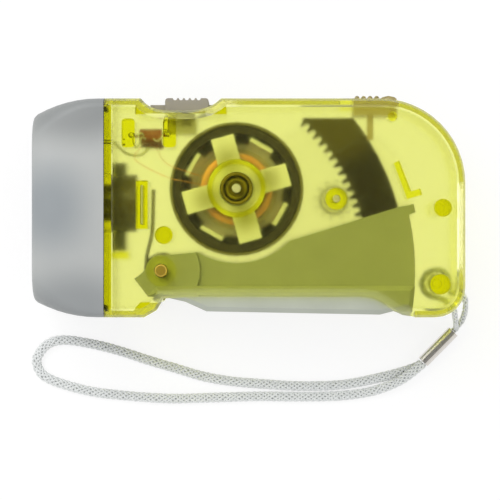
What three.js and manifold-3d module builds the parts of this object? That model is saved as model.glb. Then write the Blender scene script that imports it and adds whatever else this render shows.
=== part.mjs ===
// Squeeze-lever dynamo torch, lying on its flat side, in millimetres, +Z up.
// -X is the lamp end, +X the rear end, and the squeeze lever closes towards +Y.
// The origin is under the middle of the torch, on the surface that it lies on.
import * as THREE from 'three';
import * as BufferGeometryUtils from 'three/addons/utils/BufferGeometryUtils.js';
import Module from 'manifold-3d';

const wasm = await Module();
wasm.setup();

// Driving dimensions of the housing
const bodyThickness = 30;
const jointX = -35;
const caseRear = 52.5;
const caseTop = 25.9;
const caseBottom = -27.1;
const wall = 1.8;
const edgeRadius = 2.2;
const seam = 0.2;
const topCornerRadius = 20.6;
const rearCornerRadius = 7.3;
const leverEdge = -22.3;
const overrun = 5;
const fit = 0.3;
const seatGap = 0.25;
const filletSteps = 2;

// Levels through the torch, and how deep ribs hang from its near wall, as shares of its thickness
const levelShares = {
  cradleTop: 0.41667, sectorLow: 0.46667, gearLow: 0.14333, cupTop: 0.72, hubTop: 0.83333,
  smallPinionLow: 0.13,
  sleeveLow: 0.35667, frontClawTop: 0.74, rearClawLow: 0.36667, frontClawLeg: 0.30667, rearClawLeg: 0.28667,
  springLow: 0.42, diode: 0.6, nearWebHigh: 0.85, ribDepth: 0.56667, diodePostDepth: 0.45333,
  stopRibDepth: 0.27333, topPostDepth: 0.18667,
};

// Switch scoop in the top edge
const scoopStart = -26.1;
const scoopFloorStart = -20.4;
const scoopFloorEnd = -13.6;
const scoopEnd = -6.6;
const scoopFloor = 23;
const scoopCeiling = 22;
const scoopBoxMargin = 1.3;

// Lever opening in the bottom edge
const frontLipStart = -25.3;
const frontLipTip = -22.3;
const frontLipTipRise = 1.7;
const frontLipTop = -20.6;
const frontLipTopDrop = 0.4;
const leverEdgeStart = -11.8;
const leverEdgeEnd = 27;
const rearLipTip = 40.2;
const lipBlockLength = 5.2;
const lipBlockHeight = 3.7;

// Lamp hood
const hoodFront = -52.5;
const hoodHalfHeight = 26.5;
const hoodCentreY = -0.6;
const hoodBowStart = -36.5;
const hoodBow = 3.9;
const hoodDepthBow = 1.5;
const hoodEdgeRadius = 2.3;
const hoodFrontEdgeRadius = 7.5;
const hoodWall = 1.8;
const hoodRimRound = 0.9;
const hoodRim = 3.2;
const hoodSteps = 6;
const lensSetback = 2.1;
const lensThickness = 1.5;
const spigotLength = 3.4;
const spigotInset = 2.1;
const spigotWall = 1.2;
const bulkhead = 1.8;

// Lamp
const reflectorPlate = 1;
const cupSideGap = 0.1;
const cupEdgeGap = 0.24;
const cupDepth = 7;
const cupWall = 0.8;
const cupCount = 3;
const ledRadius = 2.5;
const ledFlangeRadius = 2.9;
const ledFlange = 0.9;
const ledStraight = 3.2;
const boardThickness = 1.4;
const ledHoleClearance = 0.3;

// Battery pack, cradle and contact
const batteryRadius = 7.1;
const batteryEnd = -27.5;
const batteryY = 0.75;
const batteryGap = 0.35;
const cellGroove = 0.35;
const cellGrooveWidth = 0.8;
const cradleLength = 2.3;
const cradleLow = -11;
const cradleHigh = 10.8;
const cradleTop = bodyThickness * levelShares.cradleTop;
const contactThickness = 0.4;
const ribWidth = 1.1;
const ribGap = 0.7;
const ribLow = -5.7;
const ribHigh = 6;
const ribDepth = bodyThickness * levelShares.ribDepth;

// Squeeze lever
const pivotX = -21.2;
const pivotY = -15.8;
const pivotRadius = 1.5;
const pivotBore = 1.65;
const pivotHeadRadius = 2.7;
const pivotHeadHeight = 1.1;
const pivotSlot = 0.7;
const pivotSlotDepth = 0.5;
const pivotBossRadius = 3.7;
const hubRadius = 3.8;
const hubTopRise = 4.5;
const hubArcStart = 78;
const hubArcEnd = 172;
const barrelRadius = 3;
const cheekRadius = 9.5;
const cheekThickness = 0.8;
const noseX = -27.7;
const noseY = -17.8;
const noseLowX = -24.4;
const noseLowY = -22.1;
const noseTopY = -16.4;
const noseEndX = -19.6;
const noseEndDrop = 0.3;
const barStartX = -15.4;
const barStartY = -23.35;
const barShoulderX = -10.2;
const barShoulderY = -25.7;
const barEndX = 31.9;
const barEndY = -26.5;
const barTipX = 37.4;
const barTipY = -25.1;
const barWall = 2;
const barSideGap = 0.9;
const skirtWall = 1.5;
const skirtTop = -19.5;
const webGearGap = 0.5;
const nearWebHigh = bodyThickness * levelShares.nearWebHigh;
const webThickness = 1.8;
const webTopStartX = 10.1;
const webTopStartY = -8.6;
const webTopEndX = 36.7;
const webTopEndY = -0.3;
const nibReach = 1.7;
const nibRise = 0.7;
const nibHeight = 2;
const webRearMargin = 1.6;
const flywheelClearance = 1.7;

// Gear train
const sectorModule = 0.7;
const sectorWholeTeeth = 143;
const pinionTeeth = 12;
const gearModule = 0.6;
const gearTeeth = 66;
const flywheelPinionTeeth = 15;
const gearAxleAngle = 22.27;
const flywheelAngle = 174;
const addendumShare = 0.95;
const dedendumShare = 1.25;
const toothRootShare = 0.6;
const toothTipShare = 0.24;
const sectorBodyWidth = 9.175;
const sectorTop = 21.7;
const sectorFirstTooth = -4;
const sectorToothCount = 14;
const sectorTangAngle = 6.5;
const sectorTangShare = 0.861;
const sectorLow = bodyThickness * levelShares.sectorLow;
const sectorThickness = 4;
const sectorPinRadiusShare = 0.1744;
const sectorPinDepthShares = [0.6649, 0.2289];
const sectorPinAngle = 10.5;
const gearLow = bodyThickness * levelShares.gearLow;
const gearThickness = 2.6;
const gearWebThickness = 1.4;
const gearRimWidth = 2.4;
const gearHubRadius = 5.6;
const pinionSleeveRadius = 2.6;
const pinionTopMargin = 0.6;
const pinionCollarRadius = 5;
const pinionCollar = 1.2;
const collarGap = 0.45;
const ratchetTeeth = 8;
const ratchetRise = 1;
const ratchetGapShare = 0.55;
const gearAxleRadius = 0.9;
const gearAxleBore = 1;
const gearBossRadius = 2.7;
const clutchWire = 0.5;
const clutchTurns = 3;
const clutchTopGap = 0.4;
const clutchMeanRadius = 3.3;

// Flywheel and magnet
const cupOuterRadius = 16.4;
const cupSkin = 0.7;
const cupGearGap = 0.6;
const cupBase = 1.7;
const cupTop = bodyThickness * levelShares.cupTop;
const magnetThickness = 1.7;
const magnetRecess = 0.95;
const flywheelHubRadius = 2.7;
const hubRecessRadius = 1.9;
const hubRecessDepth = 1.5;
const flywheelHubTop = bodyThickness * levelShares.hubTop;
const flywheelAxleRadius = 1.1;
const flywheelAxleBore = 1.2;
const flywheelPinionLow = bodyThickness * levelShares.smallPinionLow;
const bushRadius = 3.2;

// Stator
const sleeveClearance = 0.35;
const sleeveWall = 0.9;
const sleeveLow = bodyThickness * levelShares.sleeveLow;
const shoulderInner = 5.9;
const shoulderOuter = 7.1;
const clawThickness = 1.1;
const frontClawTop = bodyThickness * levelShares.frontClawTop;
const rearClawLow = bodyThickness * levelShares.rearClawLow;
const clawBoreClearance = 0.15;
const frontClawDisc = 7;
const frontClawReach = 13.2;
const frontClawWidth = 5.7;
const frontClawLeg = bodyThickness * levelShares.frontClawLeg;
const rearClawDisc = 11.5;
const rearClawReach = 12.9;
const rearClawWidth = 6.2;
const rearClawLeg = bodyThickness * levelShares.rearClawLeg;
const frontClawAngle = 15.5;
const rearClawAngle = 60.5;
const clawCount = 4;
const bobbinClearance = 0.25;
const bobbinCore = 6.1;
const bobbinFlange = 9.9;
const bobbinFlangeThickness = 0.7;
const coilCoreRadius = 8.2;
const coilWire = 0.5;
const coilTurns = 4;
const coilStartAngle = 150;
const coilLoopSteps = 24;
const coilSides = 6;

// Slide switch
const switchTravel = 2.2;
const knobStart = -20.5;
const knobEnd = -9.8;
const knobTop = 26.5;
const knobHalfWidth = 5.4;
const knobRound = 0.7;
const grooveCount = 5;
const groovePitch = 1.45;
const grooveRadius = 0.55;
const skirtStart = -24.1;
const skirtEnd = -9;
const skirtThickness = 1.6;
const pocketStart = -26.5;
const pocketEnd = -7.6;
const pocketHalfWidth = 6;
const switchStemX = -15.3;
const switchStemLength = 1.8;
const switchStemOffset = 5.6;
const switchStemWidth = 2;
const switchStemReach = 20.2;
const switchBlockStart = -19.9;
const switchBlockEnd = -12.9;
const switchBlockLow = 18;
const switchBlockNearSide = 4.6;
const switchBlockFarSide = 3.4;
const switchBlockWall = 1.1;

// Lever lock slider
const lockTravel = 3;
const lockStart = 25.8;
const lockEnd = 36.4;
const lockProud = 1.2;
const lockRidgeHeight = 0.7;
const lockHalfWidth = 4.6;
const lockRidgeCount = 4;
const lockRidgePitch = 1.6;
const lockRidgeRadius = 0.6;
const lockBumpLength = 4;
const lockFlangeExtra = 1.1;
const lockFlangeDrop = 2.7;
const lockFlangeThickness = 1;
const lockStemX = 29.1;
const lockStemLength = 1.5;
const lockStemReach = 7;
const lockStemWidth = 2;

// Ribs, posts and bosses in the case
const bossRadius = 2.2;
const bossPinRadius = 1;
const bossSocketRadius = 1.25;
const bossPinLength = 3;
const frontBossX = -20.5;
const frontBossY = -7.2;
const rearBossX = 47;
const rearBossY = -0.6;
const strapPostX = 46.4;
const strapPostY = -19.1;
const strapPostRadius = 2.5;
const topPostX = 34.8;
const topPostY = 21.5;
const topPostRadius = 1.2;
const topPostDepth = bodyThickness * levelShares.topPostDepth;
const stopRibFoot = 3.8;
const stopRibAngle = 16.2;
const stopRibEndAngle = 24.8;
const stopRibLean = 0;
const stopRibWidth = 1.5;
const stopRibDepth = bodyThickness * levelShares.stopRibDepth;
const diodePostLength = 3.2;
const diodePostLow = 14;
const diodePostHigh = 21;
const diodePostDepth = bodyThickness * levelShares.diodePostDepth;
const diodePostRound = 0.8;
const leftPostStart = -30.7;
const rightPostStart = -20.7;
const diodeSlotWidth = 1;
const strapHoleRadius = 1.35;
const strapHoleInset = 0.9;
const rearHoleY = -21.6;
const cornerHoleAngle = -45;
const tongueWidth = 0.75;
const tongueHeight = 1.2;

// Diode and wires
const diodeRadius = 1.8;
const diodeLeadRadius = 0.35;
const diodeY = 17.2;
const diodeZ = bodyThickness * levelShares.diode;
const diodeStart = -26.8;
const diodeEnd = -21.3;
const lampWire = 0.9;
const coilLead = 0.4;

// Torsion spring on the lever pivot
const springWire = 0.9;
const springMeanRadius = 3.95;
const springTurns = 5;
const springPitch = 1.4;
const springRiseTurns = 0.25;
const springRiseSteps = 3;
const springLow = bodyThickness * levelShares.springLow;
const springRestX = -23.3;
const springRestY = 4;
const springArmEnd = -6;

// Wrist strap
const strapWidth = 2.4;
const strapHeight = 1.7;
const anchorDiameter = 1.4;
const ferruleWidth = 3;
const ferruleHeight = 3.9;
const ferruleWall = 0.5;
const ferruleRecess = 0.8;
const floorGap = 0.05;

// Named colours
const colours = {
  yellow: '#dfe64a', hood: '#a9acb0', lens: '#e8eef2', chrome: '#d8d8da', led: '#f2f4f0', board: '#2f5a38',
  black: '#23231f', steel: '#b9bab4', brass: '#b59a52', copper: '#c9752c', grey: '#a6a9a2',
  white: '#e8e8de', magnet: '#4a4a48', taupe: '#9c968c', strap: '#b9bdbb', diode: '#8a3a22',
  bobbin: '#e6d9a8', rubber: '#2a2a28',
};

const midZ = bodyThickness / 2;
const innerFar = wall;
const innerNear = bodyThickness - wall;
const degree = Math.PI / 180;
const pivot = [pivotX, pivotY];
const onAxis = [0, 0];
const sharpestCorner = 0.3;

// Sizes that follow from the gear train
const sectorPitchRadius = sectorModule * sectorWholeTeeth / 2;
const pinionPitchRadius = sectorModule * pinionTeeth / 2;
const gearPitchRadius = gearModule * gearTeeth / 2;
const flywheelPinionPitchRadius = gearModule * flywheelPinionTeeth / 2;
const gearAxle = polar(pivot, sectorPitchRadius - pinionPitchRadius, gearAxleAngle);
const flywheelAxis = polar(gearAxle, gearPitchRadius + flywheelPinionPitchRadius, flywheelAngle);
const sectorHigh = sectorLow + sectorThickness;
const pinionTop = sectorHigh + pinionTopMargin;
const collarLow = sectorLow - collarGap - pinionCollar;
const clutchLow = gearLow + gearThickness + ratchetRise + clutchWire;
const clutchPitch = (collarLow - clutchTopGap - clutchWire / 2 - clutchLow) / clutchTurns;
const sectorRootRadius = sectorPitchRadius + sectorModule * dedendumShare;
const sectorOuterRadius = sectorRootRadius + sectorBodyWidth;
const sectorTangRadius = sectorOuterRadius - sectorBodyWidth * sectorTangShare;
const sectorPinRadius = sectorBodyWidth * sectorPinRadiusShare;
const sectorPinRadii = sectorPinDepthShares.map((share) => sectorOuterRadius - sectorBodyWidth * share);
const webRearRadius = sectorOuterRadius + webRearMargin;
const nibRadius = webRearRadius + nibReach;
const stopRibInner = webRearRadius + fit;
const stopRibOuter = stopRibInner + stopRibFoot;

// Levels and heights that follow from the case and the gear train
const farWebLow = gearLow + gearThickness + webGearGap;
const barLow = innerFar + barSideGap;
const barHigh = innerNear - barSideGap;
const cupLow = gearLow + gearThickness + cupGearGap;
const sleeveInner = flywheelHubRadius + sleeveClearance;
const sleeveOuter = sleeveInner + sleeveWall;
const clawBore = sleeveOuter + clawBoreClearance;
const bobbinInner = sleeveOuter + bobbinClearance;
const magnetLow = cupLow + cupBase + seatGap;
const magnetHigh = cupTop - magnetRecess;
const switchStemLow = midZ - switchStemOffset;
const switchBlockNear = switchStemLow + switchBlockNearSide;
const switchBlockFar = switchStemLow - switchBlockFarSide;
const lockTop = caseTop + lockProud;
const lockPad = lockTop - lockRidgeHeight;
const lockFlangeTop = caseTop - lockFlangeDrop;
const lockStemEnd = lockFlangeTop - lockStemReach;

function polar(centre, radius, angleDegrees) {
  const angle = angleDegrees * degree;
  return [centre[0] + radius * Math.cos(angle), centre[1] + radius * Math.sin(angle)];
}

// Points of an arc, both ends included
function arc(centre, radius, fromDegrees, toDegrees, steps) {
  const points = [];
  for (let step = 0; step <= steps; step++) {
    points.push(polar(centre, radius, fromDegrees + (toDegrees - fromDegrees) * step / steps));
  }
  return points;
}

function circle(centre, radius, sides) {
  return arc(centre, radius, 0, 360, sides).slice(0, sides);
}

function roundedRectangle(x0, x1, y0, y1, radius, steps) {
  return [
    ...arc([x1 - radius, y0 + radius], radius, -90, 0, steps),
    ...arc([x1 - radius, y1 - radius], radius, 0, 90, steps),
    ...arc([x0 + radius, y1 - radius], radius, 90, 180, steps),
    ...arc([x0 + radius, y0 + radius], radius, 180, 270, steps),
  ];
}

// Moves every side of an anticlockwise loop inwards and meets the moved sides again
function inset(loop, distance) {
  const count = loop.length;
  return loop.map((point, index) => {
    const before = loop[(index + count - 1) % count];
    const after = loop[(index + 1) % count];
    const first = new THREE.Vector2(point[0] - before[0], point[1] - before[1]).normalize();
    const second = new THREE.Vector2(after[0] - point[0], after[1] - point[1]).normalize();
    const normal = new THREE.Vector2(-first.y - second.y, first.x + second.x).normalize();
    const stretch = distance / Math.max(sharpestCorner, normal.dot(new THREE.Vector2(-first.y, first.x)));
    return [point[0] + normal.x * stretch, point[1] + normal.y * stretch];
  });
}

function toShape(loop) {
  return new THREE.Shape(loop.map(([x, y]) => new THREE.Vector2(x, y)));
}

// A solid for joining and cutting, from any closed geometry
function solid(geometry) {
  const bare = geometry.clone();
  bare.deleteAttribute('normal');
  bare.deleteAttribute('uv');
  const merged = BufferGeometryUtils.mergeVertices(bare, 1e-4);
  return new wasm.Manifold(new wasm.Mesh({
    numProp: 3,
    vertProperties: new Float32Array(merged.attributes.position.array),
    triVerts: new Uint32Array(merged.index.array),
  }));
}

function toGeometry(manifold) {
  const mesh = manifold.getMesh();
  const geometry = new THREE.BufferGeometry();
  geometry.setAttribute('position', new THREE.BufferAttribute(new Float32Array(mesh.vertProperties), 3));
  geometry.setIndex(new THREE.BufferAttribute(new Uint32Array(mesh.triVerts), 1));
  return geometry;
}

// An outline standing on z0 and reaching z1
function prism(loop, z0, z1, holes = []) {
  const shape = toShape(loop);
  shape.holes = holes.map((hole) => new THREE.Path(toShape(hole).getPoints()));
  const geometry = new THREE.ExtrudeGeometry(shape, { depth: z1 - z0, bevelEnabled: false });
  geometry.translate(0, 0, z0);
  return solid(geometry);
}

function rod(centre, radius, z0, z1, sides = 16) {
  return prism(circle(centre, radius, sides), z0, z1);
}

function ring(centre, outer, inner, z0, z1, sides = 32) {
  return prism(circle(centre, outer, sides), z0, z1, [circle(centre, inner, sides)]);
}

function box(x0, x1, y0, y1, z0, z1) {
  const geometry = new THREE.BoxGeometry(x1 - x0, y1 - y0, z1 - z0);
  geometry.translate((x0 + x1) / 2, (y0 + y1) / 2, (z0 + z1) / 2);
  return solid(geometry);
}

// A closed skin through loops of equal length, one loop for each level
function skin(loops, levels, place = (u, v, w) => [u, v, w]) {
  const count = loops[0].length;
  const positions = [];
  const triangles = [];
  loops.forEach((loop, level) => loop.forEach(([u, v]) => positions.push(...place(u, v, levels[level]))));
  for (let level = 0; level + 1 < loops.length; level++) {
    for (let index = 0; index < count; index++) {
      const a = level * count + index;
      const b = level * count + (index + 1) % count;
      triangles.push(a, b, b + count, a, b + count, a + count);
    }
  }
  const flat = (loop) => THREE.ShapeUtils.triangulateShape(loop.map(([u, v]) => new THREE.Vector2(u, v)), []);
  const top = (loops.length - 1) * count;
  flat(loops[0]).forEach(([a, b, c]) => triangles.push(c, b, a));
  flat(loops[loops.length - 1]).forEach(([a, b, c]) => triangles.push(a + top, b + top, c + top));
  const geometry = new THREE.BufferGeometry();
  geometry.setAttribute('position', new THREE.Float32BufferAttribute(positions, 3));
  geometry.setIndex(triangles);
  return geometry;
}

// A revolved profile of [radius, height] points about an upright axis
function turned(profile, centre, sides) {
  const geometry = new THREE.LatheGeometry(profile.map(([r, z]) => new THREE.Vector2(r, z)), sides);
  geometry.rotateX(Math.PI / 2);
  geometry.translate(centre[0], centre[1], 0);
  return solid(geometry);
}

// A tube of round or flat section swept along a list of points, with flat ends
function sweep(points, halfWidth, halfHeight, sides, steps) {
  const section = new THREE.Shape();
  for (let side = 0; side < sides; side++) {
    const angle = 2 * Math.PI * (side + 0.5) / sides;
    const x = halfHeight * Math.cos(angle) / Math.cos(Math.PI / sides);
    const y = halfWidth * Math.sin(angle) / Math.cos(Math.PI / sides);
    if (side === 0) {
      section.moveTo(x, y);
    } else {
      section.lineTo(x, y);
    }
  }
  const path = new THREE.CatmullRomCurve3(points.map((p) => new THREE.Vector3(...p)), false, 'centripetal');
  return new THREE.ExtrudeGeometry(section, { steps, extrudePath: path, bevelEnabled: false });
}

// A round wire through given centres, one ring of corners at each centre
function wire(centres, radius, sides) {
  const points = centres.map((p) => new THREE.Vector3(...p));
  const positions = [];
  const triangles = [];
  let across = new THREE.Vector3(0, 0, 1);
  points.forEach((point, index) => {
    const before = points[Math.max(index - 1, 0)];
    const after = points[Math.min(index + 1, points.length - 1)];
    const along = new THREE.Vector3().subVectors(after, before).normalize();
    across = across.clone().addScaledVector(along, -across.dot(along)).normalize();
    const third = new THREE.Vector3().crossVectors(along, across);
    for (let side = 0; side < sides; side++) {
      const angle = 2 * Math.PI * side / sides;
      const corner = point.clone().addScaledVector(across, radius * Math.cos(angle));
      corner.addScaledVector(third, radius * Math.sin(angle));
      positions.push(corner.x, corner.y, corner.z);
    }
  });
  for (let index = 0; index + 1 < points.length; index++) {
    for (let side = 0; side < sides; side++) {
      const a = index * sides + side;
      const b = index * sides + (side + 1) % sides;
      triangles.push(a, b, b + sides, a, b + sides, a + sides);
    }
  }
  const last = (points.length - 1) * sides;
  for (let side = 1; side + 1 < sides; side++) {
    triangles.push(0, side + 1, side, last, last + side, last + side + 1);
  }
  const geometry = new THREE.BufferGeometry();
  geometry.setAttribute('position', new THREE.Float32BufferAttribute(positions, 3));
  geometry.setIndex(triangles);
  return geometry;
}

// Least clear gap between stretches of a wound wire that lie at least one loop step count apart
function leastGap(centres, diameter, apart) {
  let least = Infinity;
  for (let i = 0; i < centres.length; i++) {
    for (let j = i + apart; j < centres.length; j++) {
      const gap = new THREE.Vector3(...centres[i]).distanceTo(new THREE.Vector3(...centres[j])) - diameter;
      least = Math.min(least, gap);
    }
  }
  return least;
}

const looks = {
  shiny: { roughness: 0.25, metalness: 0.9 },
  satin: { roughness: 0.45, metalness: 0 },
  clear: { roughness: 0.15, metalness: 0, transparent: true, opacity: 0.45 },
};

// A named sub-part in a group, with a material of its own
function add(parent, name, shape, colour, look = 'satin') {
  const geometry = shape.isBufferGeometry ? shape : toGeometry(shape);
  const finish = new THREE.MeshStandardMaterial({ color: colours[colour], ...looks[look] });
  const mesh = new THREE.Mesh(geometry, finish);
  mesh.name = name;
  parent.add(mesh);
}

// A group of the torch that stands on an upright axis
function assembly(axis = onAxis) {
  const part = new THREE.Group();
  part.position.set(axis[0], axis[1], 0);
  torch.add(part);
  return part;
}

// Side outline of the case, anticlockwise from its lower front corner
function caseOutline() {
  const scoopDepth = caseTop - scoopFloor;
  const leftReach = scoopFloorStart - scoopStart;
  const rightReach = scoopEnd - scoopFloorEnd;
  const leftRadius = (leftReach ** 2 + scoopDepth ** 2) / (2 * scoopDepth);
  const rightRadius = (rightReach ** 2 + scoopDepth ** 2) / (2 * scoopDepth);
  const leftSpan = Math.asin(leftReach / leftRadius) / degree;
  const rightSpan = Math.asin(rightReach / rightRadius) / degree;
  const lipSlope = new THREE.CubicBezierCurve(
    new THREE.Vector2(leverEdgeEnd, leverEdge),
    new THREE.Vector2((leverEdgeEnd + rearLipTip) / 2, leverEdge),
    new THREE.Vector2((leverEdgeEnd + rearLipTip) / 2, caseBottom),
    new THREE.Vector2(rearLipTip, caseBottom),
  ).getPoints(6).map((p) => [p.x, p.y]);
  return [
    [jointX, caseBottom],
    [frontLipStart, caseBottom],
    [frontLipTip, caseBottom + frontLipTipRise],
    [frontLipTop, leverEdge - frontLipTopDrop],
    [leverEdgeStart, leverEdge],
    ...lipSlope,
    ...arc([caseRear - rearCornerRadius, caseBottom + rearCornerRadius], rearCornerRadius, -90, 0, 6),
    ...arc([caseRear - topCornerRadius, caseTop - topCornerRadius], topCornerRadius, 0, 90, 12),
    ...arc([scoopFloorEnd, scoopFloor + rightRadius], rightRadius, rightSpan - 90, -90, 4),
    ...arc([scoopFloorStart, scoopFloor + leftRadius], leftRadius, -90, -90 - leftSpan, 4),
    [jointX, caseTop],
  ];
}

// Hollow of the case: it runs out through the bottom where the lever passes
function cavityOutline() {
  const front = jointX + bulkhead;
  const roof = caseTop - wall;
  const rearRadius = rearCornerRadius - wall;
  const topRadius = topCornerRadius - wall;
  const blockEnd = frontLipTop - fit;
  return [
    [front, caseBottom + wall],
    [blockEnd - lipBlockLength - wall, caseBottom + wall],
    [blockEnd - lipBlockLength, caseBottom + lipBlockHeight],
    [blockEnd, caseBottom + lipBlockHeight],
    [blockEnd, caseBottom - overrun],
    [rearLipTip, caseBottom - overrun],
    [rearLipTip, caseBottom + wall],
    ...arc([caseRear - wall - rearRadius, caseBottom + wall + rearRadius], rearRadius, -90, 0, 6),
    ...arc([caseRear - wall - topRadius, roof - topRadius], topRadius, 0, 90, 12),
    [scoopEnd + scoopBoxMargin, roof],
    [scoopEnd + scoopBoxMargin, scoopCeiling],
    [scoopStart - scoopBoxMargin, scoopCeiling],
    [scoopStart - scoopBoxMargin, roof],
    [front, roof],
  ];
}

// Outer body of one case half, from the split to its face, with the rounded edge
function caseBlock(split, face) {
  const outward = Math.sign(face - split);
  const outline = caseOutline();
  const loops = [outline];
  const levels = [split];
  for (let step = 0; step <= filletSteps; step++) {
    const turn = Math.PI / 2 * step / filletSteps;
    loops.push(inset(outline, edgeRadius * (1 - Math.cos(turn))));
    levels.push(face - outward * edgeRadius * (1 - Math.sin(turn)));
  }
  const rounded = outward > 0 ? skin(loops, levels) : skin(loops.reverse(), levels.reverse());
  const front = outward > 0 ? [split, face] : [face, split];
  return solid(rounded).add(frontCollar(front[0], front[1]));
}

// The square front end of the case, flush with the hood
function frontCollar(z0, z1) {
  const section = hoodSection(jointX, seatGap / 2);
  const collar = alongX(section, section, jointX, jointX + bulkhead + wall);
  const slab = box(jointX - overrun, jointX + overrun + wall, caseBottom - overrun, caseTop + overrun,
    z0, z1);
  return collar.intersect(slab);
}

// How far the hood has bowed in at a place along X, from none to one at its front
function bowShare(x) {
  return Math.max(0, (hoodBowStart - x) / (hoodBowStart - hoodFront)) ** 2;
}

// Section of the hood at a place along X, moved in by a distance: [y, z] points
function hoodSection(x, distance) {
  const bow = bowShare(x);
  const halfHeight = hoodHalfHeight - hoodBow * bow - distance;
  const halfDepth = midZ - hoodDepthBow * bow - distance;
  const edge = hoodEdgeRadius + (hoodFrontEdgeRadius - hoodEdgeRadius) * bow - distance;
  return roundedRectangle(hoodCentreY - halfHeight, hoodCentreY + halfHeight, midZ - halfDepth,
    midZ + halfDepth, Math.max(edge, hoodRimRound), 4);
}

// A skin whose sections stand across X
function alongXSkin(sections, places) {
  return solid(skin(sections, places, (u, v, w) => [w, u, v]));
}

function alongX(first, last, x0, x1) {
  return alongXSkin([first, last], [x0, x1]);
}

function hoodShell() {
  const places = [jointX];
  const sections = [hoodSection(jointX, 0)];
  const bowEnd = hoodFront + hoodRimRound;
  for (let step = 0; step <= hoodSteps; step++) {
    const x = hoodBowStart + (bowEnd - hoodBowStart) * step / hoodSteps;
    places.push(x);
    sections.push(hoodSection(x, 0));
  }
  for (let step = 1; step <= 2; step++) {
    const turn = Math.PI / 2 * step / 2;
    const x = bowEnd - hoodRimRound * Math.sin(turn);
    places.push(x);
    sections.push(hoodSection(x, hoodRimRound * (1 - Math.cos(turn))));
  }
  const outside = alongXSkin(sections.reverse(), places.reverse());
  const lensBack = hoodFront + lensSetback;
  const innerPlaces = [lensBack];
  const innerSections = [hoodSection(lensBack, hoodWall)];
  for (let step = 1; step <= hoodSteps; step++) {
    const x = lensBack + (hoodBowStart - lensBack) * step / hoodSteps;
    innerPlaces.push(x);
    innerSections.push(hoodSection(x, hoodWall));
  }
  innerPlaces.push(jointX + overrun);
  innerSections.push(hoodSection(jointX, hoodWall));
  const inside = alongXSkin(innerSections, innerPlaces);
  const mouth = alongX(hoodSection(lensBack, hoodRim), hoodSection(lensBack, hoodRim), hoodFront - overrun,
    lensBack + wall);
  return outside.subtract(inside).subtract(mouth);
}

// A plate across the hood between two places, clear of its wall
function hoodPlate(x0, x1, clearance) {
  const distance = hoodWall + clearance;
  return alongX(hoodSection(x0, distance), hoodSection(x1, distance), x0, x1);
}

const lensFront = hoodFront + lensSetback + seatGap;
const reflectorFront = lensFront + lensThickness + seatGap;
const hoodRoom = hoodHalfHeight - hoodBow * bowShare(reflectorFront) - hoodWall;
const cupSpacing = 2 * (hoodRoom - cupEdgeGap - cupWall + cupSideGap) / cupCount;
const cupRadius = cupSpacing / 2 - cupSideGap;
const cupBack = reflectorFront + cupDepth;
const boardFront = cupBack + ledFlange + 2 * seatGap;
const boardBack = boardFront + boardThickness;
const spigotFront = jointX - spigotLength;
const batteryFront = boardBack + batteryGap;

function cupCentre(index) {
  return hoodCentreY + (index - (cupCount - 1) / 2) * cupSpacing;
}

// A revolved profile of [radius, distance] points about an axis along X, starting at x
function turnedAlongX(profile, x, y, z, sides) {
  const geometry = new THREE.LatheGeometry(profile.map(([r, d]) => new THREE.Vector2(r, d)), sides);
  geometry.rotateZ(-Math.PI / 2);
  geometry.translate(x, y, z);
  return solid(geometry);
}

// Bowl profile from its mouth to its back, moved outwards by a wall
function bowlProfile(extra) {
  const points = [];
  const steps = 4;
  const floorRadius = ledRadius + ledHoleClearance;
  for (let step = 0; step <= steps; step++) {
    const share = step / steps;
    points.push([floorRadius + (cupRadius - floorRadius) * Math.sqrt(1 - share) + extra, cupDepth * share]);
  }
  return points;
}

function reflector() {
  let body = hoodPlate(reflectorFront, reflectorFront + reflectorPlate, fit);
  for (let index = 0; index < cupCount; index++) {
    const outer = [[0, 0], ...bowlProfile(cupWall), [0, cupDepth]];
    body = body.add(turnedAlongX(outer, reflectorFront, cupCentre(index), midZ, 20));
  }
  for (let index = 0; index < cupCount; index++) {
    const bowl = bowlProfile(0);
    const mouth = [cupRadius, -overrun];
    const back = [ledRadius + ledHoleClearance, cupDepth + overrun];
    const cutter = [[0, -overrun], mouth, ...bowl, back, [0, cupDepth + overrun]];
    body = body.subtract(turnedAlongX(cutter, reflectorFront, cupCentre(index), midZ, 20));
  }
  return body;
}

// One five-millimetre lamp, dome towards -X
function led(index) {
  const back = cupBack + seatGap + ledFlange;
  const profile = [[0, 0], [ledFlangeRadius, 0], [ledFlangeRadius, -ledFlange], [ledRadius, -ledFlange]];
  const domeStart = -ledFlange - ledStraight;
  for (let step = 0; step < 4; step++) {
    const turn = Math.PI / 2 * step / 4;
    profile.push([ledRadius * Math.cos(turn), domeStart - ledRadius * Math.sin(turn)]);
  }
  profile.push([0, domeStart - ledRadius]);
  return turnedAlongX(profile.reverse(), back, cupCentre(index), midZ, 12);
}

function batteryPack() {
  const length = batteryEnd - batteryFront;
  const profile = [[0, 0], [batteryRadius - cellGroove, 0], [batteryRadius, cellGroove]];
  const middle = length / 2;
  profile.push([batteryRadius, middle - cellGrooveWidth], [batteryRadius - cellGroove, middle]);
  profile.push([batteryRadius, middle + cellGrooveWidth], [batteryRadius, length - cellGroove]);
  profile.push([batteryRadius - cellGroove, length], [0, length]);
  return turnedAlongX(profile, batteryFront, batteryY, midZ, 24);
}

// Cylinder along X that clears the battery pack
function batteryClearance() {
  const radius = batteryRadius + fit;
  const length = batteryEnd + fit - boardBack;
  return turnedAlongX([[0, 0], [radius, 0], [radius, length], [0, length]], boardBack, batteryY, midZ, 28);
}

function batteryCradle() {
  const x0 = jointX + bulkhead + seatGap;
  const block = box(x0, x0 + cradleLength, cradleLow, cradleHigh, innerFar + seatGap, cradleTop);
  return block.subtract(batteryClearance());
}

const contactStart = batteryEnd + seatGap + ribWidth + (ribGap - contactThickness) / 2;

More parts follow.
